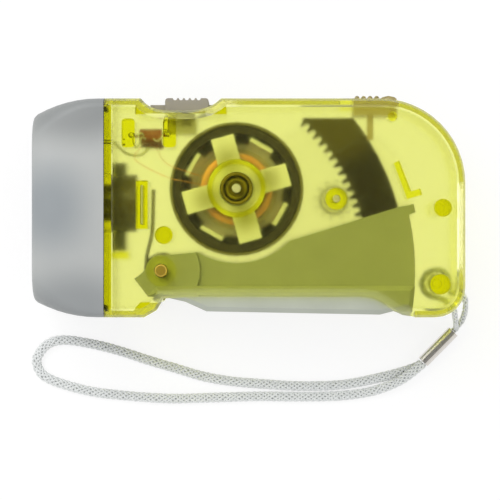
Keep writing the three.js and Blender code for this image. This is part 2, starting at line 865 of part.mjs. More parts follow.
function batteryContact() {
  return box(contactStart, contactStart + contactThickness, ribLow + ribWidth, ribHigh - ribWidth,
    innerNear - ribDepth, innerNear - seatGap);
}

// Ring of wall material between two insets of the case outline, clear of the openings in its edge
function rimRing(outer, inner, z0, z1) {
  const outline = caseOutline();
  const middle = prism(inset(outline, inner), z0 - overrun, z1 + overrun);
  const band = prism(inset(outline, outer), z0, z1).subtract(middle);
  const opening = box(jointX - overrun, rearLipTip + wall, caseBottom - overrun, leverEdge + wall, z0, z1);
  const scoop = box(scoopStart - overrun, scoopEnd + overrun, scoopCeiling - overrun, caseTop + overrun,
    z0, z1);
  const collar = box(jointX - overrun, jointX + overrun, caseBottom - overrun, caseTop + overrun, z0, z1);
  const lockSlot = box(lockStart - lockTravel - overrun, lockEnd + overrun, scoopCeiling, caseTop + overrun,
    z0, z1);
  const strapCorner = box(caseRear - rearCornerRadius, caseRear + overrun, caseBottom - overrun,
    rearHoleY + strapHoleRadius + fit, z0, z1);
  return band.subtract(opening).subtract(scoop).subtract(collar).subtract(lockSlot).subtract(strapCorner);
}

// Short tube of the case that enters the hood
function spigot() {
  const outer = hoodSection(jointX, spigotInset);
  const inner = hoodSection(jointX, spigotInset + spigotWall);
  const tube = alongX(outer, outer, spigotFront, jointX + bulkhead);
  return tube.subtract(alongX(inner, inner, spigotFront - overrun, jointX));
}

function halfSlab(z0, z1) {
  return box(jointX - 2 * overrun, caseRear + overrun, caseBottom - overrun, caseTop + overrun, z0, z1);
}

// Openings that both halves share
function sharedCuts() {
  const pocket = box(pocketStart, pocketEnd, scoopFloor, caseTop + overrun, midZ - pocketHalfWidth,
    midZ + pocketHalfWidth);
  const stemStart = switchStemX - switchStemLength / 2 - switchTravel - fit;
  const stemEnd = switchStemX + switchStemLength / 2 + fit;
  const stemSlot = box(stemStart, stemEnd, scoopCeiling - overrun, caseTop, switchStemLow - fit,
    switchStemLow + switchStemWidth + fit);
  const lockWindow = box(lockStart - lockTravel - fit, lockEnd + fit, lockFlangeTop - fit, caseTop + overrun,
    midZ - lockHalfWidth - fit, midZ + lockHalfWidth + fit);
  const wireHole = turnedAlongX([[0, 0], [lampWire, 0], [lampWire, overrun], [0, overrun]],
    jointX - fit, lampWireRoute[0][1], midZ, 12);
  const rearHole = turnedAlongX([[0, 0], [strapHoleRadius, 0], [strapHoleRadius, overrun], [0, overrun]],
    caseRear - wall - strapHoleInset, rearHoleY, midZ, 12);
  return [pocket, stemSlot, lockWindow, wireHole, cornerHole(), rearHole, batteryClearance()];
}

// Strap hole straight out through the rounded lower rear corner
function cornerHole() {
  const centre = [caseRear - rearCornerRadius, caseBottom + rearCornerRadius];
  const innerEnd = rearCornerRadius - wall - strapHoleInset;
  const [x, y] = polar(centre, innerEnd + overrun / 2, cornerHoleAngle);
  const geometry = new THREE.CylinderGeometry(strapHoleRadius, strapHoleRadius, overrun, 12);
  geometry.rotateZ((cornerHoleAngle - 90) * degree);
  geometry.translate(x, y, midZ);
  return solid(geometry);
}

function hollow(z0, z1) {
  return prism(cavityOutline(), z0, z1);
}

// Far half: it lies on the surface and carries the axle bearings
function farHalf() {
  const split = midZ - seam / 2;
  let half = caseBlock(split, 0).subtract(hollow(innerFar, split + overrun));
  half = half.add(spigot().intersect(halfSlab(-overrun, split)));
  const grooveFloor = split - tongueHeight - seam;
  half = half.subtract(rimRing(wall - tongueWidth - seam, wall + fit, grooveFloor, split + overrun));
  const bosses = [
    [[frontBossX, frontBossY], bossRadius, split],
    [[rearBossX, rearBossY], bossRadius, split],
    [[strapPostX, strapPostY], strapPostRadius, split],
    [pivot, pivotBossRadius, farWebLow - cheekThickness - fit],
    [gearAxle, gearBossRadius, gearLow - fit],
    [flywheelAxis, bushRadius, flywheelPinionLow - fit],
  ];
  bosses.forEach(([place, radius, top]) => {
    half = half.add(rod(place, radius, innerFar - wall / 2, top));
  });
  [[frontBossX, frontBossY], [rearBossX, rearBossY], [strapPostX, strapPostY]].forEach((place) => {
    half = half.subtract(rod(place, bossSocketRadius, split - bossPinLength - fit, split + overrun, 12));
  });
  const x0 = jointX + bulkhead - wall / 2;
  const shelf = box(x0, x0 + cradleLength + wall + fit, cradleLow - wall - seatGap, cradleLow - seatGap,
    wall / 2, cradleTop);
  half = half.add(shelf);
  half = half.subtract(rod(pivot, pivotBore, -overrun, bodyThickness));
  half = half.subtract(rod(pivot, pivotHeadRadius + fit, -overrun, pivotHeadHeight + fit, 24));
  half = half.subtract(rod(gearAxle, gearAxleBore, innerFar / 2, bodyThickness, 12));
  half = half.subtract(rod(flywheelAxis, flywheelAxleBore, innerFar / 2, bodyThickness, 12));
  sharedCuts().forEach((cut) => {
    half = half.subtract(cut);
  });
  return half;
}

// L-shaped rib beside the closed lever's tip
function stopRib() {
  const corner = polar(pivot, stopRibInner, stopRibAngle);
  const cornerOut = polar(pivot, stopRibInner + stopRibWidth, stopRibAngle);
  const foot = polar(pivot, stopRibOuter, stopRibAngle);
  const rise = stopRibWidth / stopRibInner / degree;
  const footTop = polar(pivot, stopRibOuter, stopRibAngle + rise);
  const bend = polar(pivot, stopRibInner + stopRibWidth, stopRibAngle + rise);
  const headOut = polar(pivot, stopRibInner + stopRibLean + stopRibWidth, stopRibEndAngle);
  const headIn = polar(pivot, stopRibInner + stopRibLean, stopRibEndAngle);
  return prism([corner, cornerOut, foot, footTop, bend, headOut, headIn], innerNear - stopRibDepth,
    innerNear + wall / 2);
}

// Post with a notch for one of the diode's leads, towards +X for a positive notch side
function diodePost(x0, notchSide) {
  const outline = roundedRectangle(x0, x0 + diodePostLength, diodePostLow, diodePostHigh, diodePostRound, 2);
  const post = prism(outline, innerNear - diodePostDepth, innerNear + wall / 2);
  const middle = x0 + diodePostLength / 2;
  const notchStart = notchSide > 0 ? middle : x0 - overrun;
  const notchEnd = notchSide > 0 ? x0 + diodePostLength + overrun : middle;
  return post.subtract(box(notchStart, notchEnd, diodeY - diodeSlotWidth / 2, diodeY + diodeSlotWidth / 2,
    innerNear - diodePostDepth - overrun, diodeZ + diodeSlotWidth / 2));
}

// Near half: it carries the stator, the stop rib and the posts
function nearHalf() {
  const split = midZ + seam / 2;
  const root = innerNear + wall / 2;
  let half = caseBlock(split, bodyThickness).subtract(hollow(split - overrun, innerNear));
  half = half.add(spigot().intersect(halfSlab(split, bodyThickness + overrun)));
  half = half.add(rimRing(wall - tongueWidth, wall, split - tongueHeight, split + tongueHeight));
  const posts = [
    [[frontBossX, frontBossY], bossRadius], [[rearBossX, rearBossY], bossRadius],
    [[strapPostX, strapPostY], strapPostRadius],
  ];
  posts.forEach(([place, radius]) => {
    half = half.add(rod(place, radius, split, root));
    half = half.add(rod(place, bossPinRadius, split - bossPinLength, split + wall, 12));
  });
  half = half.add(rod(pivot, pivotBossRadius, nearWebHigh + cheekThickness + fit, root, 28));
  half = half.add(rod(gearAxle, gearBossRadius, pinionTop + fit, root));
  half = half.add(rod([topPostX, topPostY], topPostRadius, innerNear - topPostDepth, root, 12));
  half = half.add(ring(flywheelAxis, sleeveOuter, sleeveInner, sleeveLow, root, 24));
  half = half.add(ring(flywheelAxis, shoulderOuter, shoulderInner, frontClawTop + seatGap, root, 24));
  half = half.add(rod(flywheelAxis, sleeveOuter, flywheelHubTop + fit, root, 24));
  half = half.add(stopRib());
  half = half.add(diodePost(leftPostStart, 1));
  half = half.add(diodePost(rightPostStart, -1));
  const ribStart = batteryEnd + seatGap;
  [ribStart, ribStart + ribWidth + ribGap].forEach((x0) => {
    half = half.add(box(x0, x0 + ribWidth, ribLow, ribHigh, innerNear - ribDepth, root));
  });
  [[ribLow, ribLow + ribWidth], [ribHigh - ribWidth, ribHigh]].forEach(([y0, y1]) => {
    half = half.add(box(ribStart, ribStart + 2 * ribWidth + ribGap, y0, y1, innerNear - ribDepth, root));
  });
  half = half.subtract(rod(pivot, pivotBore, -overrun, bodyThickness - wall / 2));
  half = half.subtract(rod(pivot, pivotRadius + fit, innerNear, bodyThickness + overrun, 20));
  half = half.subtract(rod(gearAxle, gearAxleBore, 0, innerNear + wall / 2, 12));
  half = half.subtract(rod(flywheelAxis, flywheelAxleBore, 0, innerNear + wall / 2, 12));
  sharedCuts().forEach((cut) => {
    half = half.subtract(cut);
  });
  return half;
}

// Side profile of the lever, anticlockwise, with the top edge that clears the flywheel
function leverProfile() {
  const clearRadius = cupOuterRadius + flywheelClearance;
  const hubTop = pivotY + hubTopRise;
  const startAngle = -180 - Math.asin((hubTop - flywheelAxis[1]) / clearRadius) / degree;
  const endDirection = Math.atan2(webTopStartY - flywheelAxis[1], webTopStartX - flywheelAxis[0]) / degree;
  const rearLow = Math.asin((barTipY - pivotY) / webRearRadius) / degree;
  const rearHigh = Math.asin((webTopEndY - nibHeight - pivotY) / webRearRadius) / degree;
  const nibAngle = Math.asin((webTopEndY + nibRise - pivotY) / nibRadius) / degree;
  const nibLowAngle = Math.asin((webTopEndY + nibRise - nibHeight - pivotY) / nibRadius) / degree;
  return [
    [noseLowX, noseLowY],
    [noseEndX, noseLowY - noseEndDrop],
    [barStartX, barStartY],
    [barShoulderX, barShoulderY],
    [barEndX, barEndY],
    [barTipX, barTipY],
    ...arc(pivot, webRearRadius, rearLow, rearHigh, 6),
    polar(pivot, nibRadius, nibLowAngle),
    polar(pivot, nibRadius, nibAngle),
    [webTopEndX, webTopEndY],
    ...arc(flywheelAxis, clearRadius, endDirection, startAngle, 10),
    ...arc(pivot, hubRadius, hubArcStart, hubArcEnd, 6),
    [noseX + wall, noseTopY],
    [noseX, noseY],
  ];
}

// Strip of the lever profile just above its lower edge
function barOutline() {
  return [
    [noseLowX, noseLowY],
    [noseEndX, noseLowY - noseEndDrop],
    [barStartX, barStartY],
    [barShoulderX, barShoulderY],
    [barEndX, barEndY],
    [barTipX, barTipY],
    ...arc(pivot, webRearRadius, Math.asin((barTipY - pivotY) / webRearRadius) / degree,
      Math.asin((skirtTop - pivotY) / webRearRadius) / degree, 2),
    [noseLowX + wall, skirtTop],
  ];
}

// Hollow of the palm bar: its lower edge raised by the wall, open upwards and at both ends
function barTrough() {
  const floor = [
    [noseLowX - overrun, noseLowY],
    [noseLowX, noseLowY],
    [noseEndX, noseLowY - noseEndDrop],
    [barStartX, barStartY],
    [barShoulderX, barShoulderY],
    [barEndX, barEndY],
    [barTipX, barTipY],
    [caseRear, barTipY],
  ];
  const top = skirtTop + overrun;
  return [...floor.map(([x, y]) => [x, y + barWall]), [caseRear, top], [noseLowX - overrun, top]];
}

// Channel-shaped squeeze lever: palm bar, two skirts, two webs and the pivot barrel
function lever() {
  const profile = leverProfile();
  const bar = barOutline();
  const rounded = inset(bar, edgeRadius / 2);
  const barLoops = [rounded, bar, bar, rounded];
  const barLevels = [barLow, barLow + edgeRadius / 2, barHigh - edgeRadius / 2, barHigh];
  let body = solid(skin(barLoops, barLevels));
  body = body.subtract(prism(barTrough(), barLow + skirtWall, barHigh - skirtWall));
  const farWeb = prism(profile, farWebLow, farWebLow + webThickness);
  const nearWeb = prism(profile, nearWebHigh - webThickness, nearWebHigh);
  body = body.add(farWeb).add(nearWeb);
  body = body.add(rod(pivot, barrelRadius, farWebLow, nearWebHigh, 24));
  const cheekLoop = circle(pivot, cheekRadius, 32);
  const outlineCut = prism(profile, -overrun, bodyThickness + overrun);
  const cheeks = prism(cheekLoop, farWebLow - cheekThickness, farWebLow + fit)
    .add(prism(cheekLoop, nearWebHigh - fit, nearWebHigh + cheekThickness));
  body = body.add(cheeks.intersect(outlineCut));
  sectorPinRadii.forEach((radius) => {
    const place = polar(pivot, radius, sectorPinAngle);
    body = body.add(rod(place, sectorPinRadius, farWebLow, sectorHigh, 14));
    body = body.add(rod(place, sectorPinRadius + wall, farWebLow, sectorLow - seatGap, 14)
      .intersect(outlineCut));
  });
  return body.subtract(rod(pivot, pivotBore, -overrun, bodyThickness + overrun));
}

// Sector gear with its teeth on the hollow side, standing on the lever's pins
function sectorGear() {
  const pitchAngle = 360 / sectorWholeTeeth;
  const tip = sectorPitchRadius - sectorModule * addendumShare;
  const root = sectorRootRadius;
  const halfRoot = pitchAngle / 2 * toothRootShare;
  const halfTip = pitchAngle / 2 * toothTipShare;
  const teeth = [];
  for (let index = sectorToothCount - 1; index >= 0; index--) {
    const angle = gearAxleAngle + (sectorFirstTooth + index + 0.5) * pitchAngle;
    teeth.push(polar(pivot, root, angle + halfRoot), polar(pivot, tip, angle + halfTip));
    teeth.push(polar(pivot, tip, angle - halfTip), polar(pivot, root, angle - halfRoot));
  }
  const topOuter = Math.asin((sectorTop - pivotY) / sectorOuterRadius) / degree;
  const topInner = Math.asin((sectorTop - pivotY) / root) / degree;
  const lastTooth = gearAxleAngle + sectorFirstTooth * pitchAngle - halfRoot;
  const outline = [
    polar(pivot, sectorTangRadius, sectorTangAngle),
    ...arc(pivot, sectorOuterRadius, sectorTangAngle, topOuter, 12),
    polar(pivot, root, topInner),
    ...teeth,
    polar(pivot, root, lastTooth),
    polar(pivot, sectorTangRadius, lastTooth - pitchAngle),
  ];
  let body = prism(outline, sectorLow, sectorHigh);
  sectorPinRadii.forEach((radius) => {
    const place = polar(pivot, radius, sectorPinAngle);
    body = body.subtract(rod(place, sectorPinRadius + fit, 0, bodyThickness, 14));
  });
  return body;
}

// Outline of a gear wheel about its own axis, with the first tooth at an angle
function gearOutline(teeth, module, firstTooth) {
  const pitch = 360 / teeth;
  const radius = module * teeth / 2;
  const root = radius - module * dedendumShare;
  const tip = radius + module * addendumShare;
  const points = [];
  for (let index = 0; index < teeth; index++) {
    const angle = firstTooth + index * pitch;
    points.push(polar(onAxis, root, angle - pitch / 2 * toothRootShare));
    points.push(polar(onAxis, tip, angle - pitch / 2 * toothTipShare));
    points.push(polar(onAxis, tip, angle + pitch / 2 * toothTipShare));
    points.push(polar(onAxis, root, angle + pitch / 2 * toothRootShare));
  }
  return points;
}

function mainGear() {
  const top = gearLow + gearThickness;
  const rim = gearPitchRadius - gearModule * dedendumShare - gearRimWidth;
  const webLow = gearLow + (gearThickness - gearWebThickness) / 2;
  let body = prism(gearOutline(gearTeeth, gearModule, flywheelAngle), gearLow, top);
  body = body.subtract(ring(onAxis, rim, gearHubRadius, webLow + gearWebThickness, top + overrun, 24));
  body = body.subtract(ring(onAxis, rim, gearHubRadius, gearLow - overrun, webLow, 24));
  const hub = ring(onAxis, gearHubRadius, pinionSleeveRadius + fit, gearLow, top + ratchetRise, 24);
  return body.add(hub.subtract(ratchetCut(top)))
    .subtract(rod(onAxis, gearAxleBore + fit, 0, bodyThickness, 16))
    .subtract(rod(onAxis, pinionSleeveRadius + fit, gearLow + gearThickness / 2, bodyThickness, 24));
}

// Wedges between the ratchet teeth on the gear's hub
function ratchetCut(level) {
  const pitch = 360 / ratchetTeeth;
  let cut = null;
  for (let index = 0; index < ratchetTeeth; index++) {
    const end = (index + ratchetGapShare) * pitch;
    const outer = arc(onAxis, gearHubRadius + fit, index * pitch, end, 2);
    const inner = arc(onAxis, pinionSleeveRadius, end, index * pitch, 1);
    const wedge = prism([...outer, ...inner], level, level + overrun);
    cut = cut ? cut.add(wedge) : wedge;
  }
  return cut;
}

// Pinion that the sector drives, with its clutch collar and sleeve
function drivePinion() {
  const sleeveEnd = gearLow + gearThickness / 2 + fit;
  let body = prism(gearOutline(pinionTeeth, sectorModule, gearAxleAngle), collarLow, pinionTop);
  body = body.add(rod(onAxis, pinionCollarRadius, collarLow, collarLow + pinionCollar, 24));
  body = body.add(rod(onAxis, pinionSleeveRadius, sleeveEnd, collarLow + fit, 20));
  return body.subtract(rod(onAxis, gearAxleBore, 0, bodyThickness, 12));
}

function helix(centre, radius, low, pitch, turns, steps, startDegrees, direction) {
  const centres = [];
  const total = Math.round(turns * steps);
  for (let step = 0; step <= total; step++) {
    const [x, y] = polar(centre, radius, startDegrees + direction * 360 * step / steps);
    centres.push([x, y, low + pitch * step / steps]);
  }
  return centres;
}

function clutchSpring() {
  const centres = helix(onAxis, clutchMeanRadius, clutchLow, clutchPitch, clutchTurns, 8, 0, 1);
  console.log('clutch_spring least gap', leastGap(centres, clutchWire, 6).toFixed(2), 'mm');
  return wire(centres, clutchWire / 2, 5);
}

// Flywheel: black cup, hub through the stator and the small pinion under it
function flywheelCup() {
  const base = cupLow + cupBase;
  const inner = cupOuterRadius - cupSkin;
  const profile = [
    [0, cupLow], [cupOuterRadius, cupLow], [cupOuterRadius, cupTop], [inner, cupTop], [inner, base],
    [flywheelHubRadius, base], [flywheelHubRadius, flywheelHubTop], [hubRecessRadius, flywheelHubTop],
    [hubRecessRadius, flywheelHubTop - hubRecessDepth], [0, flywheelHubTop - hubRecessDepth],
  ];
  const firstTooth = flywheelAngle + 180 + 180 / flywheelPinionTeeth;
  const pinionOutline = gearOutline(flywheelPinionTeeth, gearModule, firstTooth);
  const pinion = prism(pinionOutline, flywheelPinionLow, cupLow + fit);
  return turned(profile, onAxis, 40).add(pinion)
    .subtract(rod(onAxis, flywheelAxleBore, 0, bodyThickness, 16));
}

function ringMagnet() {
  const outer = cupOuterRadius - cupSkin - seatGap;
  return ring(onAxis, outer, outer - magnetThickness, magnetLow, magnetHigh, 40);
}

// Claw plate: a disc with arms whose ends are bent along the axis
function clawPlate(disc, reach, width, low, legLow, legHigh, angle) {
  let plate = rod(onAxis, disc, low, low + clawThickness, 32);
  for (let index = 0; index < clawCount; index++) {
    const turn = (angle + index * 360 / clawCount) * degree;
    const arm = new THREE.BoxGeometry(reach - clawBore, width, clawThickness);
    arm.translate((reach + clawBore) / 2, 0, low + clawThickness / 2);
    const leg = new THREE.BoxGeometry(clawThickness, width, legHigh - legLow);
    leg.translate(reach - clawThickness / 2, 0, (legLow + legHigh) / 2);
    [arm, leg].forEach((part) => {
      part.rotateZ(turn);
      plate = plate.add(solid(part));
    });
  }
  return plate.subtract(rod(onAxis, clawBore, 0, bodyThickness, 24));
}

function frontClaw() {
  const low = frontClawTop - clawThickness;
  return clawPlate(frontClawDisc, frontClawReach, frontClawWidth, low, frontClawTop - frontClawLeg,
    frontClawTop, frontClawAngle);
}

function rearClaw() {
  return clawPlate(rearClawDisc, rearClawReach, rearClawWidth, rearClawLow, rearClawLow,
    rearClawLow + rearClawLeg, rearClawAngle);
}

const bobbinLow = rearClawLow + clawThickness + seatGap;
const bobbinHigh = frontClawTop - clawThickness - seatGap;

function coilBobbin() {
  const profile = [
    [bobbinInner, bobbinLow], [bobbinFlange, bobbinLow], [bobbinFlange, bobbinLow + bobbinFlangeThickness],
    [bobbinCore, bobbinLow + bobbinFlangeThickness], [bobbinCore, bobbinHigh - bobbinFlangeThickness],
    [bobbinFlange, bobbinHigh - bobbinFlangeThickness], [bobbinFlange, bobbinHigh], [bobbinInner, bobbinHigh],
    [bobbinInner, bobbinLow],
  ];
  return turned(profile, onAxis, 32);
}

const coilLow = bobbinLow + bobbinFlangeThickness + seatGap;
const coilHigh = bobbinHigh - bobbinFlangeThickness - seatGap;

// Inner layers of the winding, as one plain drum
function coilInnerLayers() {
  return ring(onAxis, coilCoreRadius, bobbinCore + seatGap, coilLow, coilHigh, 32);
}

// Outer layer of the winding, one unbroken tube
function coilOuterLayer() {
  const radius = coilCoreRadius + fit + coilWire / 2;
  const pitch = (coilHigh - coilLow - coilWire) / coilTurns;
  const low = coilLow + coilWire / 2;
  const centres = helix(onAxis, radius, low, pitch, coilTurns, coilLoopSteps, coilStartAngle, 1);
  console.log('coil_outer_layer least gap', leastGap(centres, coilWire, coilLoopSteps / 2).toFixed(2), 'mm');
  return wire(centres, coilWire / 2, coilSides);
}

// Grooved thumb knob with its sliding skirt and the stem that works the contacts
function switchKnob() {
  const low = midZ - knobHalfWidth;
  const high = midZ + knobHalfWidth;
  const skirtLow = scoopFloor + seatGap;
  const base = skirtLow + skirtThickness;
  const outline = roundedRectangle(knobStart, knobEnd, skirtLow, knobTop, knobRound, 2);
  let body = prism(outline, low, high);
  const middle = (knobStart + knobEnd) / 2;
  for (let index = 0; index < grooveCount; index++) {
    const x = middle + (index - (grooveCount - 1) / 2) * groovePitch;
    body = body.subtract(rod([x, knobTop], grooveRadius, 0, bodyThickness, 8));
  }
  body = body.add(box(skirtStart, skirtEnd, skirtLow, base, low + knobRound, high - knobRound));
  const stemStart = switchStemX - switchStemLength / 2;
  return body.add(box(stemStart, stemStart + switchStemLength, switchStemReach, base, switchStemLow,
    switchStemLow + switchStemWidth));
}

function switchBlock() {
  const top = scoopCeiling - seatGap;
  const block = box(switchBlockStart, switchBlockEnd, switchBlockLow, top, switchBlockFar, switchBlockNear);
  const slotStart = switchStemX - switchStemLength / 2 - switchTravel - fit;
  const slotEnd = switchStemX + switchStemLength / 2 + fit;
  const slot = box(slotStart, slotEnd, switchStemReach - fit, top + overrun, switchStemLow - fit,
    switchStemLow + switchStemWidth + fit);
  const chamber = box(switchBlockStart + switchBlockWall, switchBlockEnd - switchBlockWall,
    switchBlockLow - overrun, switchStemReach - 2 * switchBlockWall, switchBlockFar + switchBlockWall,
    switchBlockNear - switchBlockWall);
  return block.subtract(slot).subtract(chamber);
}

// Slider with a ridged pad in the top window, a retaining flange and the locking stem
function lockSlider() {
  const low = midZ - lockHalfWidth;
  const high = midZ + lockHalfWidth;
  const flangeLow = lockFlangeTop - lockFlangeThickness;
  let body = box(lockStart, lockEnd, flangeLow, lockPad, low, high);
  for (let index = 0; index < lockRidgeCount; index++) {
    const x = lockStart + lockRidgeRadius + fit + index * lockRidgePitch;
    body = body.add(rod([x, lockTop - lockRidgeRadius], lockRidgeRadius, low, high, 8));
  }
  const bumpStart = lockEnd - lockBumpLength;
  const bump = [
    [bumpStart, lockPad - lockRidgeRadius], [lockEnd, lockPad - lockRidgeRadius], [lockEnd, lockPad],
    [lockEnd - lockRidgeRadius, lockTop - lockRidgeRadius / 2], [bumpStart + lockBumpLength / 2, lockTop],
    [bumpStart + lockRidgeRadius, lockTop - lockRidgeRadius / 2], [bumpStart, lockPad],
  ];
  body = body.add(prism(bump, low, high));
  body = body.add(box(lockStart, lockEnd, flangeLow, lockFlangeTop, low - lockFlangeExtra,
    high + lockFlangeExtra));
  return body.add(box(lockStemX, lockStemX + lockStemLength, lockStemEnd, flangeLow + fit, sectorHigh + fit,
    sectorHigh + fit + lockStemWidth));
}

// Screw that the lever swings on, headed on the far side
function pivotScrew() {
  const profile = [
    [0, 0], [pivotHeadRadius, 0], [pivotHeadRadius, pivotHeadHeight],
    [pivotRadius, pivotHeadHeight + seatGap], [pivotRadius, bodyThickness - wall / 2],
    [0, bodyThickness - wall / 2],
  ];
  const slot = box(pivotX - pivotHeadRadius - fit, pivotX + pivotHeadRadius + fit, pivotY - pivotSlot / 2,
    pivotY + pivotSlot / 2, -overrun, pivotSlotDepth);
  return turned(profile, pivot, 20).subtract(slot);
}

// Plain pin held at both ends by the walls of the case
function axle(radius) {
  const end = innerFar / 2 + seatGap;
  return rod(onAxis, radius, end, bodyThickness - end, 12);
}

function diode() {
  const body = turnedAlongX([[0, 0], [diodeRadius, 0], [diodeRadius, diodeEnd - diodeStart],
    [0, diodeEnd - diodeStart]], diodeStart, diodeY, diodeZ, 14);
  const leadStart = leftPostStart + diodePostLength / 2 + fit;
  const leadEnd = rightPostStart + diodePostLength / 2 - fit;
  return body.add(turnedAlongX([[0, 0], [diodeLeadRadius, 0], [diodeLeadRadius, leadEnd - leadStart],
    [0, leadEnd - leadStart]], leadStart, diodeY, diodeZ, 6));
}

// Route of the wire from the lamp board through the bulkhead to the diode
const lampWireRoute = [
  [boardBack + seatGap, 15.7, midZ], [jointX, 15.7, midZ], [jointX + bulkhead, 15.7, midZ],
  [-31.6, 14.2, diodeZ - 1.4], [-29.6, 12.8, diodeZ - 0.2], [-26.6, 12.6, diodeZ], [-24.4, 14.4, diodeZ],
];

// Two fine leads from the winding to the diode
const coilLeadRoutes = [
  [
    [-22.6, 14.9, diodeZ], [-21.6, 12.2, diodeZ + 2.6], [-19.3, 9.9, cupTop + 1.3],
    [-14.6, 8.2, cupTop + 1.6], [-11.3, 7.2, bobbinHigh + 0.45],
  ],
  [
    [-26.4, 14.9, diodeZ + 1], [-27.6, 11.2, diodeZ + 2.8], [-20.4, 7.2, cupTop + 1.4],
    [-15.4, 5.9, cupTop + 1.7], [-12, 5.3, bobbinHigh + 0.45],
  ],
];

// Torsion spring round the lever's barrel, one leg up to the rib and one along the lever
function leverSpring() {
  const coil = helix(pivot, springMeanRadius, springLow, springPitch, springTurns, 8, -90, -1);
  const top = springLow + springPitch * springTurns;
  const startLeg = [[springArmEnd, pivotY - springMeanRadius, springLow],
    [(springArmEnd + pivotX) / 2, pivotY - springMeanRadius, springLow]];
  for (let step = 1; step <= springRiseSteps; step++) {
    const turn = springRiseTurns * step / springRiseSteps;
    const [x, y] = polar(pivot, springMeanRadius, -90 - 360 * turn);
    coil.push([x, y, top + springPitch * turn]);
  }
  const endZ = top + springPitch * springRiseTurns;
  const endLeg = [[pivotX - springMeanRadius + fit, pivotY + springMeanRadius, endZ],
    [springRestX - fit, (springRestY + pivotY) / 2, endZ], [springRestX, springRestY, endZ]];
  console.log('lever_spring least gap', leastGap(coil, springWire, 6).toFixed(2), 'mm');
  return wire([...startLeg, ...coil, ...endLeg], springWire / 2, 5);
}

// Wrist strap: its ferrule, the flat loop and the anchor cord round the post in the case
const ferruleTop = [51.9, -31.5];
const ferruleMouth = [44.3, -39.2];
const strapRoute = [
  [44.05, -39.45, 0.95], [43, -40.4, 0.95], [38.5, -41.9, 0.95], [31.4, -43.7, 0.95], [24.3, -45, 0.95],
  [17.1, -45.4, 0.95], [10, -45.3, 0.95], [2.9, -44.8, 0.95], [-4.2, -44.2, 0.95], [-11.3, -43, 0.95],
  [-18.5, -40.9, 0.95], [-25.6, -38.8, 0.95], [-32.7, -36.5, 0.95], [-39.8, -34.7, 0.95], [-46.9, -33.7, 0.95],
  [-51, -34.7, 0.95], [-53.5, -37.5, 0.95], [-53.8, -40, 0.95], [-52, -42.8, 0.95], [-46.9, -45, 0.95],
  [-39.8, -46.8, 0.95], [-32.7, -47.7, 0.95], [-25.6, -48.3, 0.95], [-18.5, -48.6, 0.95], [-11.3, -48.4, 0.95],
  [-4.2, -48.2, 0.95], [2.9, -48, 0.95], [10, -48.1, 0.95], [17.1, -48.1, 0.95], [24.3, -47.8, 0.95],
  [31.4, -46.7, 1.2], [38.3, -44, 2.3], [43, -40.5, 3], [44.05, -39.45, 3],
];
const anchorRoute = [
  [52.11, -31.29, 1.05], [52.7, -30.7, 1.05], [53.3, -30.1, 1.4], [54, -28.6, 3.6], [54.35, -26.4, midZ - 7.2],
  [54.1, -23.9, midZ - 2.6], [53.4, -22.1, midZ - 0.4], [52.2, -21.6, midZ], [50.6, -21.5, midZ],
  [49.75, -20.5, midZ], [49.65, -18.7, midZ], [49.1, -17, midZ], [47.9, -16, midZ], [46.4, -15.7, midZ],
  [44, -16.7, midZ], [43, -19.1, midZ], [44, -21.5, midZ], [46.2, -22.5, midZ], [47.8, -22.9, midZ],
  [49.1, -23.7, midZ], [50.4, -25, midZ], [51.1, -26, midZ - 0.8], [51.6, -27.4, midZ - 3.4],
  [51.9, -28.9, 8.4], [52.3, -29.9, 5.4], [52.6, -30.6, 3.5], [52.45, -30.95, 2.95], [52.11, -31.29, 2.85],
];

function ferrule() {
  const along = new THREE.Vector3(ferruleMouth[0] - ferruleTop[0], ferruleMouth[1] - ferruleTop[1], 0);
  const length = along.length();
  const section = roundedRectangle(-ferruleWidth / 2, ferruleWidth / 2, floorGap, floorGap + ferruleHeight,
    ferruleWidth / 3, 3);
  const turn = Math.atan2(along.y, along.x);
  const place = (u, v, w) => [
    ferruleTop[0] + w * Math.cos(turn) - u * Math.sin(turn),
    ferruleTop[1] + w * Math.sin(turn) + u * Math.cos(turn),
    v,
  ];
  const sleeve = solid(skin([section, section], [0, length], place));
  const mouthLoop = inset(section, ferruleWall);
  const topRecess = solid(skin([mouthLoop, mouthLoop], [-overrun, ferruleRecess], place));
  const mouthRecess = solid(skin([mouthLoop, mouthLoop], [length - ferruleRecess, length + overrun], place));
  return sleeve.subtract(topRecess).subtract(mouthRecess);
}

const torch = new THREE.Group();

const housing = assembly();
add(housing, 'far_case_half', farHalf(), 'yellow', 'clear');
add(housing, 'near_case_half', nearHalf(), 'yellow', 'clear');

const lamp = assembly();
add(lamp, 'lamp_hood', hoodShell(), 'hood');
add(lamp, 'front_lens', hoodPlate(lensFront, lensFront + lensThickness, fit), 'lens', 'clear');
add(lamp, 'reflector', reflector(), 'chrome', 'shiny');
for (let index = 0; index < cupCount; index++) {
  add(lamp, `led_${index + 1}`, led(index), 'led', 'clear');
}
add(lamp, 'lamp_board', hoodPlate(boardFront, boardBack, fit), 'board');

const circuit = assembly();
add(circuit, 'battery_pack', batteryPack(), 'rubber');
add(circuit, 'battery_cradle', batteryCradle(), 'black');
add(circuit, 'battery_contact', batteryContact(), 'steel', 'shiny');
add(circuit, 'rectifier_diode', diode(), 'diode');
add(circuit, 'lamp_wire', sweep(lampWireRoute, lampWire / 2, lampWire / 2, 6, 16), 'strap');
coilLeadRoutes.forEach((route, index) => {
  add(circuit, `coil_lead_${index + 1}`, sweep(route, coilLead / 2, coilLead / 2, 5, 10), 'copper');
});

const sliders = assembly();
add(sliders, 'switch_knob', switchKnob(), 'taupe');
add(sliders, 'switch_block', switchBlock(), 'black');
add(sliders, 'lock_slider', lockSlider(), 'taupe');

